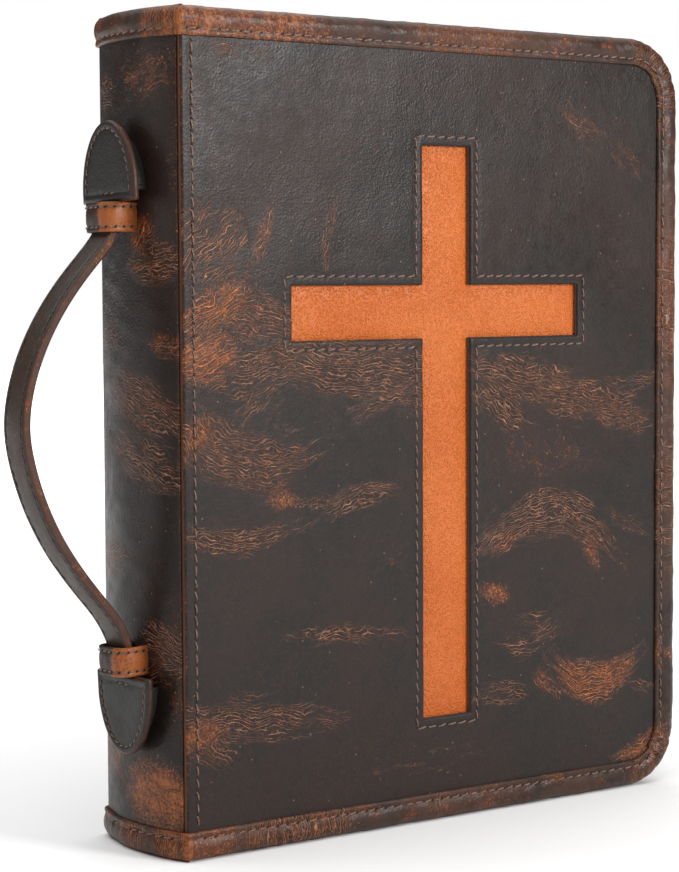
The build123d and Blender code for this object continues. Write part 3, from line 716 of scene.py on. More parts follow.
def cover_leather(name, body, side, material):
    """The outer leather of one cover. side is -1 for the front, which has the window, and 1 for the back."""
    window = side < 0
    edges_x, edges_z = window_edges(window)
    xs = lines_between(0.0, WIDTH - 3.0, [0.0] + edges_x, 1.3)
    zs = lines_between(3.0, HEIGHT - 3.0, edges_z, 1.3)
    x, z = np.meshgrid(xs, zs)
    swell = Ripple(34, 0.16)(x, z) + Ripple(11, 0.05)(x, z)
    y = HALF + swell * 0.5 - 0.55 * np.exp(-(x / 0.32) ** 2) - 0.12 * np.exp(-((x - FOLD_SEAM) / 0.9) ** 2)
    if window:
        d = window_distance(x, z)
        outside = np.maximum(d, 0)
        y += -0.5 * np.exp(-(outside / 0.3) ** 2) - 0.16 * np.exp(-((outside - WINDOW_SEAM) / 0.8) ** 2)
        y += 0.12 * np.exp(-((outside - 1.3) / 0.8) ** 2)
    rim = 12.0
    inset = np.minimum(np.minimum(WIDTH - x, z), HEIGHT - z)
    y = np.where(inset < rim, np.minimum(y, HALF + 0.05), y)
    points = np.stack([x, side * y, z], -1).reshape(-1, 3)
    columns = len(xs)
    faces, kinds = [], []
    for r in range(len(zs) - 1):
        for q in range(columns - 1):
            mx, mz = (xs[q] + xs[q + 1]) / 2, (zs[r] + zs[r + 1]) / 2
            if window and window_distance(np.array(mx), np.array(mz)) < 0:
                continue
            cx, cz = mx - (WIDTH - CORNER_R), abs(mz - HEIGHT / 2) - (HEIGHT / 2 - CORNER_R)
            if cx > 0 and cz > 0 and math.hypot(cx, cz) > CORNER_R - 3.5:
                continue
            faces.append((r * columns + q, r * columns + q + 1, (r + 1) * columns + q + 1,
                          (r + 1) * columns + q))
            kinds.append(0)
    # the leather's thickness at its cut edges
    edges = {}
    for face in faces:
        for a, b in zip(face, face[1:] + face[:1]):
            edges[frozenset((a, b))] = edges.get(frozenset((a, b)), 0) + 1
    border = [tuple(e) for e, n in edges.items() if n == 1]
    points = points.tolist()
    under = {}
    for a, b in border:
        for v in (a, b):
            if v not in under:
                under[v] = len(points)
                points.append((points[v][0], side * (HALF - LEATHER), points[v][2]))
        faces.append((a, b, under[b], under[a]))
        kinds.append(1)
    piece = add_mesh(name, points, faces, [material, MATERIALS["cut_edge"]], body, kinds)
    flat = np.array(points)
    fold_rust = 0.42 * np.exp(-(flat[:, 0] / 1.1) ** 2)
    set_creases(piece, FRONT_CREASES if side < 0 else BACK_CREASES, flat[:, 0], flat[:, 2], fold_rust)
    sharpen(piece)
    return piece


def sharpen(piece, angle=50):
    """Keeps creases sharper than angle degrees sharp in smooth shading."""
    mesh = bmesh.new()
    mesh.from_mesh(piece.data)
    for edge in mesh.edges:
        if len(edge.link_faces) == 2 and edge.calc_face_angle(0) > math.radians(angle):
            edge.smooth = False
    mesh.to_mesh(piece.data)
    mesh.free()


BINDING_PROFILE = [  # (in from the case's edge, out from the middle plane) across the rolled binding
    (9.5, 25.0), (9.56, 25.45), (9.36, 25.88), (8.9, 26.08), (8.3, 26.08), (7.7, 25.9), (7.3, 25.82),
    (6.9, 25.94), (6.2, 26.22), (5.3, 26.42), (4.3, 26.5), (3.3, 26.42), (2.3, 26.12), (1.45, 25.6),
    (0.8, 24.9), (0.35, 24.0), (0.1, 23.0), (0.0, 21.9), (0.15, 20.8), (0.55, 19.9), (1.25, 19.3),
    (2.3, 19.05), (3.6, 19.0), (4.8, 19.25), (5.0, 20.4),
]


def binding_creases(piece, run, inset, marks):
    """Creases across a rolled binding. run is the place along it, marks are (place, reach, crease, rust)."""
    amount, rust = np.zeros(len(run)), np.zeros(len(run))
    for place, reach, strength, glow in marks:
        fade = np.exp(-((run - place) / reach) ** 4)
        amount = np.maximum(amount, strength * fade)
        rust = np.maximum(rust, glow * fade)
    store(piece, "crease_a", np.stack([inset, run, amount], -1))
    store(piece, "crease_b", np.zeros((len(run), 3)))
    store(piece, "rust", rust)


def cover_binding(name, body, side, material):
    """Rolled binding along a cover's three free edges, wrinkled where it goes round the corners."""
    rows = []
    base, out = edge_line(0.0, FOLD_GAP)
    run = distance_along(base)
    total = run[-1]
    low_corner = WIDTH - CORNER_R + CORNER_R * math.pi / 4
    high_corner = total - low_corner
    gather = sum(np.exp(-((run - c) / 17.0) ** 4) for c in (low_corner, high_corner))
    gather = gather + 0.7 * np.exp(-((run - 40) / 26.0) ** 4) + 0.35 * np.exp(-((total - run) / 16.0) ** 2)
    calm = np.clip(np.minimum(run, total - run) / 4.0, 0, 1)
    soft, lumps, folds = Ripple(16, 0.16), Ripple(5.0, 0.10), Ripple(3.1, 0.34)
    wide = 1.0 + 0.09 * (base[:, 0] > WIDTH - 6) + 0.02 * gather
    for i, (inset, reach) in enumerate(BINDING_PROFILE):
        share = i / (len(BINDING_PROFILE) - 1)
        weight = math.sin(math.pi * share) ** 0.7 if 0 < share < 1 else 0
        v = np.full_like(run, i * 1.1)
        height = soft(run, v) * weight + (lumps(run, v) + folds(run, v * 0.35) * gather) * weight * 0.8
        height = np.minimum(height, 0.22) * calm
        across_out = min(1.0, max(0.0, (reach - 21.0) / 4.0))
        place = inset * wide - height * (1 - across_out)
        flat = base - out * place[:, None]
        flat[:, 1] = np.clip(flat[:, 1], 0.0, HEIGHT)
        y = reach + height * across_out
        rows.append(np.stack([flat[:, 0], side * y, flat[:, 1]], -1))
    grid = np.stack(rows)
    count = grid.shape[1]
    faces = grid_faces(len(rows), count)
    faces.append(tuple(r * count for r in range(len(rows))))
    faces.append(tuple(r * count + count - 1 for r in range(len(rows))))
    piece = add_mesh(name, grid.reshape(-1, 3), faces, [material], body)
    marks = [(44, 22, 0.9, 0.6), (8, 12, 0.4, 0.7), (120, 30, 0.3, 0.35), (low_corner, 22, 0.5, 0.55),
             (310, 26, 0.5, 0.4), (380, 30, 0.45, 0.6), (high_corner, 24, 0.6, 0.5), (560, 30, 0.35, 0.55),
             (640, 26, 0.3, 0.7), (total - 6, 14, 0.3, 0.8)]
    binding_creases(piece, np.tile(run, len(rows)), np.repeat([i for i, _ in BINDING_PROFILE], count), marks)
    sharpen(piece, 70)
    return piece


def spine_point(y):
    """X of the spine's outer face at y."""
    return SPINE_R - BULGE - math.sqrt(SPINE_R**2 - y * y)


def spine_leather(material):
    """The rounded spine, tucked under both covers' leather at its two folds."""
    ys = np.concatenate([[-22.6], np.linspace(-23.4, 23.4, 64), [22.6]])
    zs = np.linspace(2.0, HEIGHT - 2.0, 220)
    swell, small = Ripple(30, 0.20), Ripple(9, 0.07)
    rows = []
    for z in zs:
        x = np.array([spine_point(y) for y in ys])
        fade = np.clip((24 - np.abs(ys)) / 6, 0, 1)
        x = x - (swell(ys, np.full_like(ys, z)) + small(ys, np.full_like(ys, z))) * 0.6 * fade
        x[[0, -1]] = 0.6
        rows.append(np.stack([x, ys, np.full_like(ys, z)], -1))
    flat = np.stack(rows).reshape(-1, 3)
    piece = add_mesh("spine_leather", flat, grid_faces(len(zs), len(ys)), [material], "spine")
    fold_rust = 0.55 * np.exp(-((25.0 - np.abs(flat[:, 1])) / 2.6) ** 2)
    set_creases(piece, SPINE_CREASES, flat[:, 1], flat[:, 2], fold_rust)
    return piece


SPINE_BINDING_PROFILE = [  # (down from the top, out from the spine's face)
    (9.5, 0.0), (9.56, 0.45), (9.36, 0.88), (8.9, 1.08), (8.3, 1.08), (7.7, 0.9), (7.3, 0.82), (6.9, 0.94),
    (6.2, 1.2), (5.3, 1.42), (4.3, 1.5), (3.2, 1.42), (2.2, 1.15), (1.35, 0.7), (0.7, 0.05), (0.25, -0.8),
    (0.03, -1.8), (0.03, -2.8), (0.3, -3.8), (0.9, -4.6), (1.8, -5.0), (3.2, -5.05),
]


def spine_binding(name, top, material):
    """Rolled binding over one end of the spine."""
    ys = np.linspace(-24.6, 24.6, 62)
    centre_x = SPINE_R - BULGE
    soft, folds = Ripple(13, 0.16), Ripple(3.4, 0.16)
    rows = []
    for i, (down, out) in enumerate(SPINE_BINDING_PROFILE):
        weight = math.sin(math.pi * i / (len(SPINE_BINDING_PROFILE) - 1)) ** 0.7
        v = np.full_like(ys, i * 1.1)
        calm = np.clip((25.0 - np.abs(ys)) / 4.0, 0, 1)
        height = np.minimum((soft(ys, v) + folds(ys, v * 0.4) * 0.6) * weight, 0.2) * calm
        radius = SPINE_R + out + height * (out > -1.5)
        angle = np.arcsin(np.clip(ys / (SPINE_R + 0.7), -1, 1))
        x = centre_x - radius * np.cos(angle)
        y = radius * np.sin(angle)
        z = np.full_like(ys, HEIGHT - down if top else down)
        rows.append(np.stack([x, y, z], -1))
    grid = np.stack(rows)
    faces = grid_faces(len(rows), len(ys))
    for column in (0, len(ys) - 1):
        faces.append(tuple(r * len(ys) + column for r in range(len(rows))))
    piece = add_mesh(name, grid.reshape(-1, 3), faces, [material], "spine")
    marks = [(-20, 9, 0.7, 0.9), (0, 9, 0.7, 0.7)]
    if top:
        marks = [(-18, 9, 0.6, 0.8), (4, 8, 0.4, 0.4), (20, 8, 0.5, 0.6)]
    downs = np.repeat([down for down, _ in SPINE_BINDING_PROFILE], len(ys))
    binding_creases(piece, np.tile(ys, len(rows)), downs, marks)
    sharpen(piece, 70)
    return piece


def bend_across(cover, side, start, end):
    """The spine, a cover and two points by a fold joint's axis, for a piece between the spine and a cover.
    add_mesh bakes such a piece in place and reads nothing else from them.

    start and end are two places: along towards the fore-edge, and in from the axis towards the middle plane.
    """
    axis = to_row([0, side * FOLD_AXIS_Y, 0])
    ends = [tuple(axis + (along * MM, -side * inward * MM, 0)) for along, inward in (start, end)]
    return "spine", cover, *ends


def fold_corner(name, side, top, cover, material):
    """The binding's turn round a fold, from the spine to a cover."""
    rows = []
    for down, out in SPINE_BINDING_PROFILE:
        out = max(out, -3.4)
        line = []
        for y in (24.0, 24.6):
            angle = math.asin(y / (SPINE_R + 0.7))
            radius = SPINE_R + out + 0.02
            line.append((SPINE_R - BULGE - radius * math.cos(angle), radius * math.sin(angle)))
        if out > 0:
            for a in np.linspace(0.12, math.pi / 2, 8):
                line.append((-out * math.cos(a) * 0.98, 25.0 + out * math.sin(a)))
        else:
            line += [(-0.05 - 0.2 * out, 24.9 + out * k / 7) for k in range(8)]
        line += [(FOLD_GAP + 0.3, 25.0 + out + 0.02), (FOLD_GAP + 0.9, 25.0 + out + 0.02)]
        z = HEIGHT - down if top else down
        rows.append([(x, side * y, z) for x, y in line])
    grid = np.array(rows)
    count = grid.shape[1]
    bend = bend_across(cover, side, (-1.2, 0.8), (0.9, 0))
    piece = add_mesh(name, grid.reshape(-1, 3), grid_faces(len(rows), count), [material], bend)
    downs = np.repeat([down for down, _ in SPINE_BINDING_PROFILE], count)
    binding_creases(piece, np.tile(np.arange(count) * 1.2, len(rows)), downs, [(0.0, 30, 0.5, 0.95)])


def fold_skin(name, side, cover, material):
    """The thin leather hinge under a fold, from inside the spine's edge to inside the cover's."""
    line = [(0.9, 21.6), (0.55, 22.6), (0.35, 23.4), (0.3, 24.0), (0.45, 24.55), (0.9, 24.72),
            (1.8, 24.75), (3.2, 24.75)]
    zs = np.linspace(9.6, HEIGHT - 9.6, 90)
    grid = np.array([[(x, side * y, z) for x, y in line] for z in zs])
    bend = bend_across(cover, side, (0, 4.2), (1.6, 1.75))
    piece = add_mesh(name, grid.reshape(-1, 3), grid_faces(len(zs), len(line)), [material], bend)
    flat = grid.reshape(-1, 3)
    field, rust = crease_field([(0, 135, 3, 140, 0, 0, 0.6, 0.55)], flat[:, 0], flat[:, 2])
    for letter in "ab":
        store(piece, "crease_" + letter, field)
    store(piece, "rust", rust)


# ---------------------------------------------------------------- handle
STRAP_PATH = [
    (-12.0, 74.0), (-12.4, 68.0), (-20.4, 56.8), (-35.3, 38.4), (-45.0, 16.5), (-46.6, 4.5), (-45.2, -6.0),
    (-35.6, -30.8), (-22.2, -49.6), (-13.4, -62.5), (-12.0, -68.0), (-12.0, -74.0),
]
HANDLE_MID_Z, PATCH_EDGE_FROM_MID = 134.0, 75.3
LEAN_FORWARD, LEAN_IN = 3.0, 1.3
PAD_INSET, PAD_ROOT = 5.2, -2.6
STRAP_HALF_WIDTH, STRAP_END_HALF = 6.5, 5.9
PATCH_FACE, PATCH_THICK, PATCH_HALF, PATCH_TALL, PATCH_STRAIGHT = -12.1, 2.6, 16.0, 26.0, 3.5
KEEPER_HALF, KEEPER_FACE, KEEPER_R, KEEPER_TALL, KEEPER_DRAW = 7.8, -17.2, 4.2, 9.5, 1.7


def lean(points, directions=False):
    """Leans upright handle points as the model does, about the upper patch's straight edge."""
    span = 2 * PATCH_EDGE_FROM_MID
    forward = Matrix.Rotation(-math.atan2(LEAN_FORWARD, span), 3, "X")
    turn = np.array(forward @ Matrix.Rotation(-math.atan2(LEAN_IN, span), 3, "Y"))
    points = np.asarray(points, float)
    if directions:
        return points @ turn.T
    pivot = np.array([0, 0, HANDLE_MID_Z + PATCH_EDGE_FROM_MID])
    return (points - pivot) @ turn.T + pivot


def smooth_line(points, count):
    """A natural cubic spline through points, sampled evenly: (points, unit tangents)."""
    p = np.asarray(points, float)
    t = distance_along(p)
    n = len(p)
    h = np.diff(t)
    matrix = np.eye(n)
    for i in range(1, n - 1):
        matrix[i, i - 1:i + 2] = h[i - 1], 2 * (h[i - 1] + h[i]), h[i]
    slopes = np.diff(p, axis=0) / h[:, None]
    right = np.zeros_like(p)
    right[1:-1] = 6 * np.diff(slopes, axis=0)
    m = np.linalg.solve(matrix, right)
    s = np.linspace(0, t[-1], count)
    k = np.clip(np.searchsorted(t, s, side="right") - 1, 0, n - 2)
    a, b, hk = (t[k + 1] - s)[:, None], (s - t[k])[:, None], h[k][:, None]
    line = (m[k] * a**3 + m[k + 1] * b**3) / (6 * hk)
    line = line + (p[k] / hk - m[k] * hk / 6) * a + (p[k + 1] / hk - m[k + 1] * hk / 6) * b
    tangent = np.gradient(line, axis=0)
    return line, tangent / np.linalg.norm(tangent, axis=1, keepdims=True)


def strap():
    """Carry strap: two leathers sewn face to face, with rounded brown edges."""
    line, tangent = smooth_line([(x, HANDLE_MID_Z + z) for x, z in STRAP_PATH], 150)
    outward = np.stack([tangent[:, 1], -tangent[:, 0]], -1)
    half = [(1.0, 0.18), (0.998, 0.75), (0.975, 1.18), (0.925, 1.45), (0.86, 1.56), (0.79, 1.48),
            (0.74, 1.40), (0.69, 1.47),
            (0.60, 1.58), (0.45, 1.64), (0.22, 1.68), (0.0, 1.7)]
    upper = half + [(-a, b) for a, b in half[-2::-1]]
    profile = upper + [(-1.0 + 0.012, 0.0)] + [(a, -b) for a, b in upper[::-1]] + [(1.0 - 0.012, 0.0)]
    edge_from = 0.93
    ripple = Ripple(9, 0.07)
    points = []
    for i, (place, out) in enumerate(zip(line, outward)):
        narrow = min(1.0, max(0.0, (abs(place[1] - HANDLE_MID_Z) - 62.0) / 3.5))
        wide = STRAP_HALF_WIDTH + (STRAP_END_HALF - STRAP_HALF_WIDTH) * narrow
        for a, b in profile:
            thick = b + ripple(np.array(i * 1.1), np.array(a * 9)) * (abs(a) < 0.9)
            points.append((place[0] + out[0] * thick, a * wide, place[1] + out[1] * thick))
    count = len(profile)
    kinds = []
    for _ in range(len(line) - 1):
        for k in range(count):
            a, b = profile[k][0], profile[(k + 1) % count][0]
            kinds.append(1 if min(abs(a), abs(b)) > edge_from else 0)
    kinds += [1, 1]
    piece = add_mesh("handle_strap", lean(points), tube_faces(len(line), count),
                     [MATERIALS["strap"], MATERIALS["strap_edge"]], "handle", kinds)
    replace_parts(piece, "handle_strap_outer", "handle_strap_inner")
    shown = np.abs(line[:, 1] - HANDLE_MID_Z) < 63.5
    for face, sign in (("outer", 1), ("inner", -1)):
        for edge, across in (("front", -1), ("back", 1)):
            row = np.stack([line[:, 0] + outward[:, 0] * sign * 1.42, np.full(len(line), across * 4.8),
                            line[:, 1] + outward[:, 1] * sign * 1.42], -1)
            normal = np.stack([outward[:, 0] * sign, np.zeros(len(line)), outward[:, 1] * sign], -1)
            stitch_row(f"strap_stitches_{face}_{edge}", lean(row[shown]), lean(normal[shown], True), "handle",
                       "handle_leather", 3.9, 6, 0.27, "dark_thread")


def patch_line(inset, direction, z_edge):
    """Outline of a D-shaped patch drawn in by inset, as (y, z)."""
    w, low = PATCH_HALF - inset, inset
    tall = PATCH_TALL - PATCH_STRAIGHT - inset
    across = np.linspace(-w, w, 14)
    rise = np.linspace(low, PATCH_STRAIGHT + 0.001, 4)[1:-1]
    turn = np.linspace(0, math.pi, 49)
    y = np.concatenate([across, np.full(2, w), w * np.cos(turn), np.full(2, -w)])
    z = np.concatenate([np.full(14, low), rise, PATCH_STRAIGHT + tall * np.sin(turn), rise[::-1]])
    return np.stack([y, z_edge + direction * z], -1)


PATCH_PROFILE = [  # (in from the outline, share of the thickness out from the patch's back)
    (1.2, 0.02), (0.3, 0.12), (0.05, 0.35), (0.0, 0.55), (0.12, 0.74), (0.4, 0.89), (0.9, 0.98), (1.4, 1.0),
    (1.9, 0.98), (2.3, 0.93), (2.6, 0.89), (3.0, 0.9), (3.3, 0.93),
]


def patch(name, direction):
    """D-shaped patch with a raised rim, the stitches round it and the pad between it and the spine."""
    z_edge = HANDLE_MID_Z + direction * PATCH_EDGE_FROM_MID
    ripple = Ripple(8, 0.10)
    rows = [(patch_line(inset, direction, z_edge), PATCH_THICK * out) for inset, out in PATCH_PROFILE]
    inner = rows[-1][0]
    middle = inner.mean(0)
    rows += [(middle + (inner - middle) * share, PATCH_THICK * out)
             for share, out in ((0.8, 0.955), (0.55, 0.965), (0.3, 0.97), (0.08, 0.97))]
    grid = []
    for line, out in rows:
        x = PATCH_FACE + PATCH_THICK - out + np.abs(ripple(line[:, 0], line[:, 1])) * 0.5 * (out > 2.0)
        grid.append(np.stack([x, line[:, 0], line[:, 1]], -1))
    grid = np.stack(grid)
    count = grid.shape[1]
    faces = grid_faces(len(rows), count, True)
    kinds = []
    for r in range(len(rows) - 1):
        kinds += [1 if r < 6 else 0] * count
    faces += [tuple(range((len(rows) - 1) * count, len(rows) * count)), tuple(range(count))]
    kinds += [0, 1]
    piece = add_mesh(name, lean(grid.reshape(-1, 3)), faces, [MATERIALS["patch"], MATERIALS["patch_rim"]],
                     "spine", kinds)
    seam = patch_line(2.6, direction, z_edge)
    x = np.full(len(seam), PATCH_FACE + PATCH_THICK * 0.1)
    row = np.concatenate([np.stack([x, seam[:, 0], seam[:, 1]], -1)[13:], [[x[0], *seam[0]]]])
    outward = lean((-1.0, 0, 0), True)
    stitch_row(name + "_stitches", lean(row), outward, "spine", "dark_leather", 3.0, 10, 0.27)
    short = np.array([(x[0], y, z_edge + direction * 2.8) for y in (-4.6, 2.6)])
    stitch_row(name + "_tack", lean(short), outward, "spine", "dark_leather", 3.4, 10, 0.27)
    line = patch_line(PAD_INSET, direction, z_edge)
    pad = np.stack([np.stack([np.full(len(line), x), line[:, 0], line[:, 1]], -1)
                    for x in (PATCH_FACE + PATCH_THICK, PAD_ROOT)])
    add_mesh(name + "_pad", lean(pad.reshape(-1, 3)), grid_faces(2, len(seam), True), [MATERIALS["patch"]],
             "spine")
    return piece


def keeper(name, direction):
    """Soft leather loop round a strap end."""
    edge = HANDLE_MID_Z + direction * PATCH_EDGE_FROM_MID
    middle = edge - direction * KEEPER_TALL / 2
    turn = np.linspace(0, math.pi / 2, 10)
    r, h, face = KEEPER_R, KEEPER_HALF, KEEPER_FACE
    near = [(x, -h + KEEPER_DRAW * ((x - face - r) / (-4.6 - face - r)) ** 2)
            for x in np.linspace(-4.6, face + r, 12)[:-1]]
    bend = [(face + r - r * math.sin(a), -h + r - r * math.cos(a)) for a in turn]
    flat = [(face, y) for y in np.linspace(-h + r, h - r, 10)[1:-1]]
    back = [(x, -y) for x, y in (near + bend)[::-1]]
    path = np.array(near + bend + flat + back)
    tangent = np.gradient(path, axis=0)
    tangent /= np.linalg.norm(tangent, axis=1, keepdims=True)
    out = np.stack([tangent[:, 1] * -1, tangent[:, 0]], -1)
    if out[len(out) // 2, 0] > 0:
        out = -out
    t = KEEPER_TALL / 2
    profile = [(-t + 0.7, -1.0), (-t + 0.12, -0.85), (-t, -0.5), (-t + 0.15, -0.15), (-t + 0.6, 0.0),
               (-t + 1.1, -0.08),
               (-t + 1.55, -0.26), (-t + 2.0, -0.2), (-t + 2.8, -0.02), (-1.0, 0.02), (0.0, 0.03)]
    profile = profile + [(-z, o) for z, o in profile[-2::-1]]
    ripple = Ripple(4, 0.12)
    points = []
    for i, (place, way) in enumerate(zip(path, out)):
        for k, (z, o) in enumerate(profile):
            loose = 0.5 if 2 < k < len(profile) - 3 else 0
            push = o + float(ripple(np.array(i * 0.8), np.array(k * 1.0))) * loose
            points.append((place[0] + way[0] * push, place[1] + way[1] * push, middle + z))
    count = len(profile)
    faces = grid_faces(len(path), count, True)
    piece = add_mesh(name, lean(points), faces, [MATERIALS["keeper"]], "spine")
    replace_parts(piece, name.replace("loop", "keeper"))
    across = np.array(points)[:, 1]
    # rust-brown wear on the keeper, strongest on its near side, where it is partly a painted highlight on the
    # rounded bend; half as much on the far side
    store(piece, "rust", np.clip((-1.0 - across) / 3.0, 0, 1) + 0.5 * np.clip((across - 4.0) / 3.0, 0, 1))
    for letter in "ab":
        store(piece, "crease_" + letter, np.zeros((len(points), 3)))
    for end, z in (("low", -t + 1.6), ("high", t - 1.6)):
        row = np.array([(p[0] + w[0] * -0.2, p[1] + w[1] * -0.2, middle + z) for p, w in zip(path, out)])
        normal = np.array([(w[0], w[1], 0) for w in out])
        stitch_row(f"{name}_stitches_{end}", lean(row), lean(normal, True), "spine", "handle_leather", 3.1,
                   8, 0.27)


# ---------------------------------------------------------------- zip
def zip_teeth(name, body, side):
    """Separate metal teeth along one side of the zip, with their heads past the middle plane."""
    centre, out = edge_line(TEETH_INSET + 1.3, 9.0)
    run = distance_along(centre)
    offset = 0.0 if side < 0 else TEETH_PITCH / 2
    places = np.arange(offset + 1.0, run[-1] - 1.0, TEETH_PITCH)
    px, pz = np.interp(places, run, centre[:, 0]), np.interp(places, run, centre[:, 1])
    ox, oz = np.interp(places, run, out[:, 0]), np.interp(places, run, out[:, 1])
    section = [(-2.95, 0.5, 1.15), (-1.2, 0.62, 1.3), (-0.2, 0.62, 1.25), (0.25, 0.42, 1.0), (0.45, 0.2, 0.6)]
    points, faces = [], []
    for x, z, nx, nz in zip(px, pz, ox, oz):
        length = math.hypot(nx, nz)
        nx, nz = nx / length, nz / length
        tx, tz = -nz, nx
        first = len(points)
        for y, wide, tall in section:
            for a, b in ((-1, -1), (-0.6, -1.1), (0.6, -1.1), (1, -1), (1, 1), (0.6, 1.1), (-0.6, 1.1),
                         (-1, 1)):
                points.append((x + tx * a * wide + nx * b * tall, -side * y,
                               z + tz * a * wide + nz * b * tall))
        faces += grid_faces(len(section), 8, True, first)
        faces += [tuple(range(first, first + 8)), tuple(range(first + 32, first + 40))]
    piece = add_mesh(name, np.array(points), faces, [MATERIALS["brass"]], body)
    sharpen(piece, 35)
    return piece


# ---------------------------------------------------------------- inside of the case
LINING_FACE = 19.9        # sides of the layers, out from the middle plane
BOARD_FACE = 20.5
PAD_BACK = 22.0
PAD_FACE = 23.2
LINING_INSET = 6.6
SLEEVE_INSET = 7.0
SLEEVE_LEFT = 112.0
SLEEVE_INSIDE = 16.85
PEN_X = 191.0
PEN_R = 5.75
SPINE_LAYER_END = 1.6


def outline_inset(x, z):
    """How far points lie in from a cover's outline."""
    dx, dz = x - (WIDTH - CORNER_R), np.abs(z - HEIGHT / 2) - (HEIGHT / 2 - CORNER_R)
    corner = CORNER_R - np.hypot(dx, dz)
    return np.where((dx > 0) & (dz > 0), corner, np.minimum(WIDTH - x, HEIGHT / 2 - np.abs(z - HEIGHT / 2)))


def cover_sheet(name, body, side, inset, left, face, back, material, spacing=3.0):
    """A closed sheet with a cover's outline. face and back say how far out its two sides are."""
    r = CORNER_R - inset
    turn = np.radians(np.linspace(90, 0, 13)[:-1])
    tall = np.linspace(CORNER_R, HEIGHT - CORNER_R, int((HEIGHT - 2 * CORNER_R) / spacing))
    zs = np.concatenate([CORNER_R - r * np.sin(turn), tall, (HEIGHT - CORNER_R + r * np.sin(turn))[::-1]])
    deep = np.maximum(0, np.abs(zs - HEIGHT / 2) - (HEIGHT / 2 - CORNER_R))
    right = WIDTH - CORNER_R + np.sqrt(np.maximum(r * r - deep * deep, 0))
    share = np.concatenate([[0, 0.004, 0.02], np.linspace(0.04, 0.96, int((WIDTH - left) / spacing)),
                            [0.98, 0.996, 1]])
    x = left + np.outer(right - left, share)
    z = np.repeat(zs[:, None], len(share), 1)
    rows, columns = x.shape
    points = np.concatenate([np.stack([x, side * f(x, z), z], -1).reshape(-1, 3) for f in (face, back)])
    faces = grid_faces(rows, columns) + grid_faces(rows, columns, first=rows * columns)
    rim = [(0, c) for c in range(columns)] + [(r, columns - 1) for r in range(1, rows)]
    rim += [(rows - 1, c) for c in range(columns - 2, -1, -1)] + [(r, 0) for r in range(rows - 2, 0, -1)]
    rim = [r * columns + c for r, c in rim]
    faces += [(a, b, b + rows * columns, a + rows * columns) for a, b in zip(rim, rim[1:] + rim[:1])]
    piece = add_mesh(name, points, faces, [material], body)
    sharpen(piece, 60)
    return piece


def cell_slab(name, body, side, xs, zs, keep, face, back, material):
    """A closed slab made of the grid's cells that keep() accepts."""
    x, z = np.meshgrid(xs, zs)
    wanted = keep((x[:-1, :-1] + x[1:, 1:]) / 2, (z[:-1, :-1] + z[1:, 1:]) / 2)
    rows, columns = x.shape
    cells = [q for q, w in zip(grid_faces(rows, columns), wanted.reshape(-1)) if w]
    points = np.concatenate([np.stack([x, side * f(x, z), z], -1).reshape(-1, 3) for f in (face, back)])
    shift = rows * columns
    sides = {}
    for cell in cells:
        for a, b in zip(cell, cell[1:] + cell[:1]):
            sides[frozenset((a, b))] = sides.get(frozenset((a, b)), []) + [(a, b)]
    faces = cells + [tuple(v + shift for v in cell) for cell in cells]
    faces += [(a, b, b + shift, a + shift) for found in sides.values() if len(found) == 1 for a, b in found]
    used = sorted({v for f in faces for v in f})
    number = {v: n for n, v in enumerate(used)}
    piece = add_mesh(name, points[used], [tuple(number[v] for v in f) for f in faces], [material], body)
    sharpen(piece, 60)
    return piece


def smooth_slack(reach):
    """How much the gusset and the tape may wave at a distance from the middle plane: nothing at the seams."""
    return min(1.0, max(0.0, (20.0 - reach) / 5.0)) * min(1.0, max(0.0, (reach - 2.6) / 8.0)) * 0.6


def edge_sweep(name, body, side, profile, start, wave, material):
    """A closed strip along a cover's three free edges. profile has (inset, out from the middle plane)."""
    base, out = edge_line(0.0, start, 1.3)
    run = distance_along(base)
    columns = []
    for inset, reach in profile:
        place = inset + wave(run, np.full_like(run, reach)) * smooth_slack(reach)
        flat = base - out * place[:, None]
        columns.append(np.stack([flat[:, 0], np.full(len(run), side * reach), flat[:, 1]], -1))
    grid = np.stack(columns, 1)
    rows, wide = grid.shape[:2]
    piece = add_mesh(name, grid.reshape(-1, 3), tube_faces(rows, wide), [material], body)
    sharpen(piece, 60)
    return piece


GUSSET_PROFILE = [
    (5.0, 20.4), (5.0, 18.6), (4.95, 16.5), (4.95, 14.0), (5.0, 12.0), (5.05, 10.6), (5.1, 9.7),
    (5.35, 9.15), (5.8, 9.0), (6.25, 9.1), (6.5, 9.5), (6.58, 10.6), (6.58, 12.0), (6.58, 14.0),
    (6.58, 16.5), (6.58, 18.6), (6.58, 20.4),
]
TAPE_PROFILE = [
    (6.62, 11.0), (6.62, 9.0), (6.62, 7.0), (6.62, 5.0), (6.62, 3.3), (6.7, 2.65), (7.3, 2.65), (7.4, 3.3),
    (7.4, 5.0), (7.4, 7.0), (7.4, 9.0), (7.4, 11.0),
]


def at_level(line, y):
    """A line in X and Z put at one distance y from the middle plane."""
    return np.stack([line[:, 0], np.full(len(line), y), line[:, 1]], -1)


def cover_padding(cover, side):
    """Foam between a cover's leather and its board. The front one leaves room for the cross pad."""
    soft = Ripple(40, 0.03)

    def keep(x, z):
        return (outline_inset(x, z) > 3.6) & ((side > 0) | (window_distance(x, z) > INLAY_MARGIN + 3))

    xs, zs = lines_between(1.3, WIDTH - 1.6, [], 4.0), lines_between(1.6, HEIGHT - 1.6, [], 4.0)
    pad = cell_slab(cover + "_foam", cover + "_cover", side, xs, zs, keep,
                    lambda x, z: PAD_FACE - 0.06 + soft(x, z), lambda x, z: np.full_like(x, PAD_BACK),
                    MATERIALS["padding"])
    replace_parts(pad, cover + "_padding")


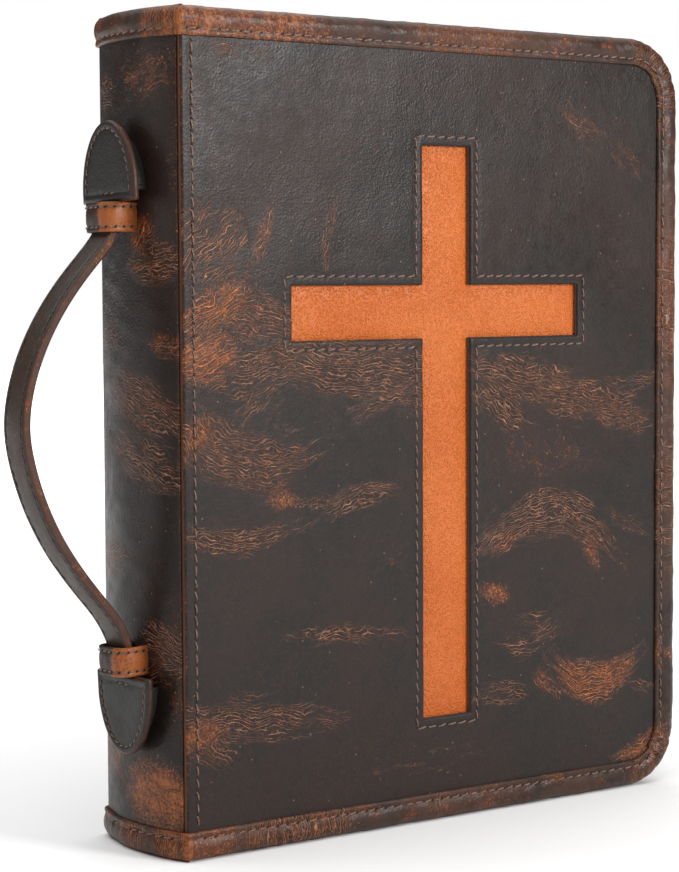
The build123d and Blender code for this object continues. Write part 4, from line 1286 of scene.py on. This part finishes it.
def cross_pad():
    """The padded tan leather behind the window, which swells into it."""
    pebble = Ripple(2.6, 0.035)
    edges_x, edges_z = window_edges(True)
    xs = lines_between(CROSS["left"] - 6, CROSS["right"] + 6, edges_x, 1.1)
    zs = lines_between(CROSS["bottom"] - 6, CROSS["top"] + 6, edges_z, 1.1)

    def face(x, z):
        distance = window_distance(x, z)
        return PAD_FACE - 0.05 + 0.5 * smooth_step(-distance / 5.0) + pebble(x, z) * (distance < -0.5)

    inlay = cell_slab("cross_pad", "front_cover", -1, xs, zs,
                      lambda x, z: window_distance(x, z) < INLAY_MARGIN - 0.7, face,
                      lambda x, z: np.full_like(x, PAD_BACK + 0.02), MATERIALS["tan"])
    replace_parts(inlay, "cross_inlay")


def cover_lining(cover, side):
    """Lining cloth stretched over a cover's board."""
    drape = Ripple(26, 0.10)
    lining = cover_sheet(cover + "_lining_cloth", cover + "_cover", side, LINING_INSET, 1.3,
                         lambda x, z: LINING_FACE + np.clip(drape(x, z), -0.12, 0.12),
                         lambda x, z: np.full_like(x, BOARD_FACE - 0.02), MATERIALS["lining"])
    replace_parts(lining, cover + "_lining")
    return lining


def cover_pocket(cover, side, lining):
    """Cloth sleeve for the Bible's own cover, sewn to the lining on three sides and hemmed on the fourth."""
    body = cover + "_cover"
    puff = Ripple(30, 0.10)

    def sleeve_face(x, z):
        deep = outline_inset(x, z) - SLEEVE_INSET
        rise = smooth_step((deep - 2.6) / 3.8)
        hem = 0.28 * smooth_step((SLEEVE_LEFT + 7.0 - x) / 0.9)
        return 19.0 - (19.0 - SLEEVE_INSIDE) * rise - hem + np.abs(puff(x, z)) * rise * 0.5

    flap = cover_sheet(cover + "_pocket", body, side, SLEEVE_INSET, SLEEVE_LEFT, sleeve_face,
                       lambda x, z: np.minimum(sleeve_face(x, z) + 0.85, 19.75), MATERIALS["lining"],
                       2.2)
    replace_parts(flap, cover + "_sleeve")
    inward = (0.0, -side, 0.0)
    line, _ = edge_line(SLEEVE_INSET + 1.7, SLEEVE_LEFT + 1.5)
    sewn = stitch_row(cover + "_pocket_stitches", at_level(line, side * 18.95), inward, body, "lining_fabric",
                      **LINING_STITCH)
    zs = np.linspace(10.5, HEIGHT - 10.5, 90)
    hem_x = np.full(len(zs), SLEEVE_LEFT + 5.6)
    row = np.stack([hem_x, side * (sleeve_face(hem_x, zs) - 0.02), zs], -1)
    hem = stitch_row(cover + "_pocket_hem", row, inward, body, "lining_fabric", **LINING_STITCH)


def cover_gusset(cover, side):
    """Leather gusset and zip tape of one cover, which wave alike, and the stitches that join them."""
    body = cover + "_cover"
    wave = Ripple(22, 0.34)
    wall = edge_sweep(cover + "_wall", body, side, GUSSET_PROFILE, 2.0, wave, MATERIALS["gusset"])
    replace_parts(wall, cover + "_gusset")
    tape = edge_sweep(cover + "_tape", body, side, TAPE_PROFILE, 6.0, wave, MATERIALS["tape"])
    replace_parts(tape, cover + "_zip_tape")
    line, out = edge_line(5.0, 4.0)
    stitch_row(cover + "_wall_stitches", at_level(line, side * 10.7), at_level(out, 0.0), body,
               "dark_leather",
               3.2, 4.0, 0.22, "dark_thread")


def spine_layer(name, outer, inner, material):
    """A closed layer under the spine's leather, outer and inner millimetres in from the spine's face.

    Returns the piece, its width and its length.
    """
    centre = SPINE_R - BULGE
    soft = Ripple(30, 0.05)
    zs = np.linspace(SPINE_LAYER_END, HEIGHT - SPINE_LAYER_END, 110)
    rows = []
    half = [math.sqrt((SPINE_R - depth) ** 2 - (centre + 0.06) ** 2) for depth in (outer, inner)]
    for z in zs:
        ring = []
        for depth, wide, way in ((outer, half[0], 1), (inner, half[1], -1)):
            for y in np.linspace(-wide, wide, 25)[::way]:
                x = centre - math.sqrt((SPINE_R - depth) ** 2 - y * y)
                ring.append((min(x + 0.03 * way + abs(soft(y, z)) * way * 0.4, -0.03), y, z))
        rows.append(ring)
    grid = np.array(rows)
    piece = add_mesh(name, grid.reshape(-1, 3), tube_faces(*grid.shape[:2]), [material], "spine")
    sharpen(piece, 60)
    return piece, 2 * half[0], HEIGHT - 2 * SPINE_LAYER_END


def pen_loop(name, z_middle):
    """An elastic loop, ribbed along its length, with its two ends sewn flat to the pocket."""
    base, thick, half = -16.35, 0.42, 8.8
    bend = np.radians(np.linspace(180, 0, 25))
    path = [(-10.4, 0.0), (-8.6, 0.0), (-7.2, 0.03), (-6.3, 0.35), (-5.8, 1.3), (-PEN_R, 3.0), (-PEN_R, 4.6)]
    arch = [(PEN_R * math.cos(a), PEN_R + PEN_R * math.sin(a)) for a in bend]
    path = np.array(path + arch + [(-x, y) for x, y in path[::-1]])
    way = np.gradient(path, axis=0)
    way /= np.linalg.norm(way, axis=1, keepdims=True)
    across = np.stack([-way[:, 1], way[:, 0]], -1)
    columns = np.linspace(-half, half, 41)
    rib = 0.07 * np.cos(np.arange(41) * math.pi)
    ring = [(z, thick + r) for z, r in zip(columns, rib)] + [(z, -thick) for z in columns[::-1]]
    points = []
    for (x, y), (nx, ny) in zip(path, across):
        draw = 1 - 0.04 * smooth_step(np.array(y / 8.0))
        for z, out in ring:
            points.append((PEN_X + x + nx * out, base + y + ny * out, z_middle + z * draw))
    faces = tube_faces(len(path), len(ring))
    piece = add_mesh(f"pen_band_{name}", points, faces, [MATERIALS["elastic"]], "front_cover")
    sharpen(piece, 60)
    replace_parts(piece, f"pen_loop_{name}")
    for end, x in (("left", -8.9), ("right", 8.9)):
        row = np.array([(PEN_X + x, base + thick + 0.05, z_middle + z) for z in (-7.8, 7.8)])
        stitch_row(f"pen_band_stitches_{name}_{end}", row, (0.0, 1.0, 0.0), "front_cover", "elastic", 2.2,
                   6.0, 0.2,
                   "dark_thread")


# ---------------------------------------------------------------- build
add_camera()
add_studio()

MATERIALS = {
    "cover": worn_leather("cover_leather", creased=True),
    "binding": worn_leather("binding_leather", creased=True, mottle=0.40, dark=(0.016, 0.010, 0.008),
                            brown=(0.050, 0.022, 0.013)),
    "strap": worn_leather("strap_leather", mottle=0.14, dark=(0.034, 0.029, 0.024),
                          brown=(0.040, 0.023, 0.016)),
    "strap_edge": worn_leather("strap_edge_leather", mottle=0.6, dark=(0.035, 0.016, 0.011),
                               brown=(0.065, 0.028, 0.018),
                               rough=0.5),
    "patch": worn_leather("patch_leather", dark=(0.016, 0.0165, 0.015), brown=(0.018, 0.015, 0.013),
                          rough=0.38),
    "patch_rim": worn_leather("patch_rim_leather", mottle=0.35, dark=(0.024, 0.013, 0.010),
                              brown=(0.045, 0.020, 0.014)),
    # the keeper's rust and bright colours also paint the highlight on its near side
    "keeper": worn_leather("keeper_leather", creased=True, mottle=0.1, brown=(0.035, 0.020, 0.014),
                           rust=(0.16, 0.044, 0.013),
                           bright=(0.40, 0.120, 0.032), rough=0.34),
    "gusset": worn_leather("gusset_leather", mottle=0.2),
    "tan": tan_leather(),
    "cut_edge": cut_edge(),
    "thread": thread(),
    "dark_thread": thread("dark_thread", (0.012, 0.008, 0.007), (0.04, 0.022, 0.016)),
    # near-black colour painted as the shade inside stitch holes
    "hole_shade": plain("painted_stitch_hole_shade", (0.003, 0.002, 0.002), (0.006, 0.004, 0.003), 0.4, 0.8),
    "padding": plain("felt_padding", (0.30, 0.27, 0.23), (0.45, 0.42, 0.37), 0.8, 0.95, 0.8, 0.3),
    "board": plain("grey_board", (0.22, 0.19, 0.15), (0.32, 0.28, 0.23), 0.7, 0.85),
    "lining": twill("twill_lining", (0.020, 0.013, 0.010), (0.075, 0.050, 0.037)),
    "elastic": twill("ribbed_elastic", (0.012, 0.011, 0.010), (0.05, 0.046, 0.043), 0.7, 0.0),
    "tape": twill("zip_tape_weave", (0.014, 0.011, 0.010), (0.055, 0.045, 0.038), 0.8, 35.0),
    "brass": metal("antique_brass", (0.46, 0.30, 0.13), (0.12, 0.075, 0.035), 0.36),
    "bible": plain("grained_bible_leather", (0.008, 0.007, 0.007), (0.028, 0.022, 0.021), 1.1, 0.42, 0.7,
                   0.2),
    "paper": paper("page_paper"),
    "page_edge": paper("page_edges", True),
    "band": twill("head_band_silk", (0.22, 0.02, 0.015), (0.75, 0.62, 0.4), 1.2, 0.0, 0.6),
}

NODE_MATERIALS = {
    "board": ["front_board", "back_board"],
    "brass": ["zip_stops", "zip_slider", "zip_slider_pin", "zip_pull_tab"], "gusset": ["zip_pull_tag"],
    "bible": ["bible_front_cover", "bible_back_cover", "bible_spine"], "page_edge": ["page_block"],
    "paper": ["front_leaves_1", "front_leaves_2", "front_leaves_3"], "band": ["head_bands"],
}
for key, names in NODE_MATERIALS.items():
    for node_name in names:
        for material_slot in nodes[node_name].material_slots:
            material_slot.material = MATERIALS[key]

for cover, side in (("front", -1), ("back", 1)):
    body = cover + "_cover"
    leather = cover_leather(cover + "_leather", body, side, MATERIALS["cover"])
    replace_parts(leather, cover + "_panel")
    rolled = cover_binding(cover + "_rolled_edge", body, side, MATERIALS["binding"])
    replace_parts(rolled, cover + "_binding")
    teeth = zip_teeth(cover + "_teeth", body, side)
    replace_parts(teeth, cover + "_zip_teeth")
    cover_padding(cover, side)
    if side < 0:
        cross_pad()
    cover_pocket(cover, side, cover_lining(cover, side))
    cover_gusset(cover, side)
    seam, _ = edge_line(BINDING_SEAM, 2.0)
    seam[:, 0] -= (seam[:, 0] > WIDTH - 8) * 0.65  # the binding is a little wider along the fore-edge
    outward = (0.0, side, 0.0)
    stitch_row(cover + "_edge_stitches", at_level(seam, side * BINDING_SEAM_FACE), outward, body,
               "binding_leather")
    fold = np.array([(FOLD_SEAM, side * (HALF + 0.02), z) for z in (FOLD_SEAM_END, HEIGHT - FOLD_SEAM_END)])
    stitch_row(cover + "_fold_stitches", fold, outward, body, "dark_leather")

corners = cross_outline(WINDOW_SEAM)
for number, (a, b) in enumerate(zip(corners, corners[1:] + corners[:1])):
    row = np.array([(a[0], -HALF + 0.08, a[1]), (b[0], -HALF + 0.08, b[1])])
    stitch_row(f"window_stitches_{number + 1}", row, (0.0, -1.0, 0.0), "front_cover", "dark_leather")

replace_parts(spine_leather(MATERIALS["cover"]), "spine_panel")
foam, _, _ = spine_layer("spine_foam", 1.8, 3.0, MATERIALS["padding"])
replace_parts(foam, "spine_padding")
cloth, cloth_wide, cloth_long = spine_layer("spine_lining_cloth", 3.0, 3.6, MATERIALS["lining"])
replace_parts(cloth, "spine_lining")
pen_loop("upper", 205.0)
pen_loop("lower", 150.0)
for cover, side in (("front", -1), ("back", 1)):
    body = cover + "_cover"
    fold_skin(cover + "_fold_skin", side, body, MATERIALS["cover"])
    for end, top in (("top", True), ("bottom", False)):
        fold_corner(f"{cover}_fold_corner_{end}", side, top, body, MATERIALS["binding"])
for end, top in (("top", True), ("bottom", False)):
    rolled = spine_binding(f"spine_rolled_{end}", top, MATERIALS["binding"])
    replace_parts(rolled, f"spine_binding_{end}")
    ys = np.linspace(-24, 24, 40)
    z = HEIGHT - BINDING_SEAM if top else BINDING_SEAM
    row = np.array([(spine_point(y) - 0.85, y, z) for y in ys])
    outward = np.array([(-1.0, y / SPINE_R, 0.0) for y in ys])
    stitch_row(f"spine_edge_stitches_{end}", row, outward, "spine", "binding_leather")

strap()
for end, direction in (("upper", 1), ("lower", -1)):
    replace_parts(patch(f"patch_{end}", direction), f"handle_patch_{end}")
    keeper(f"handle_loop_{end}", direction)
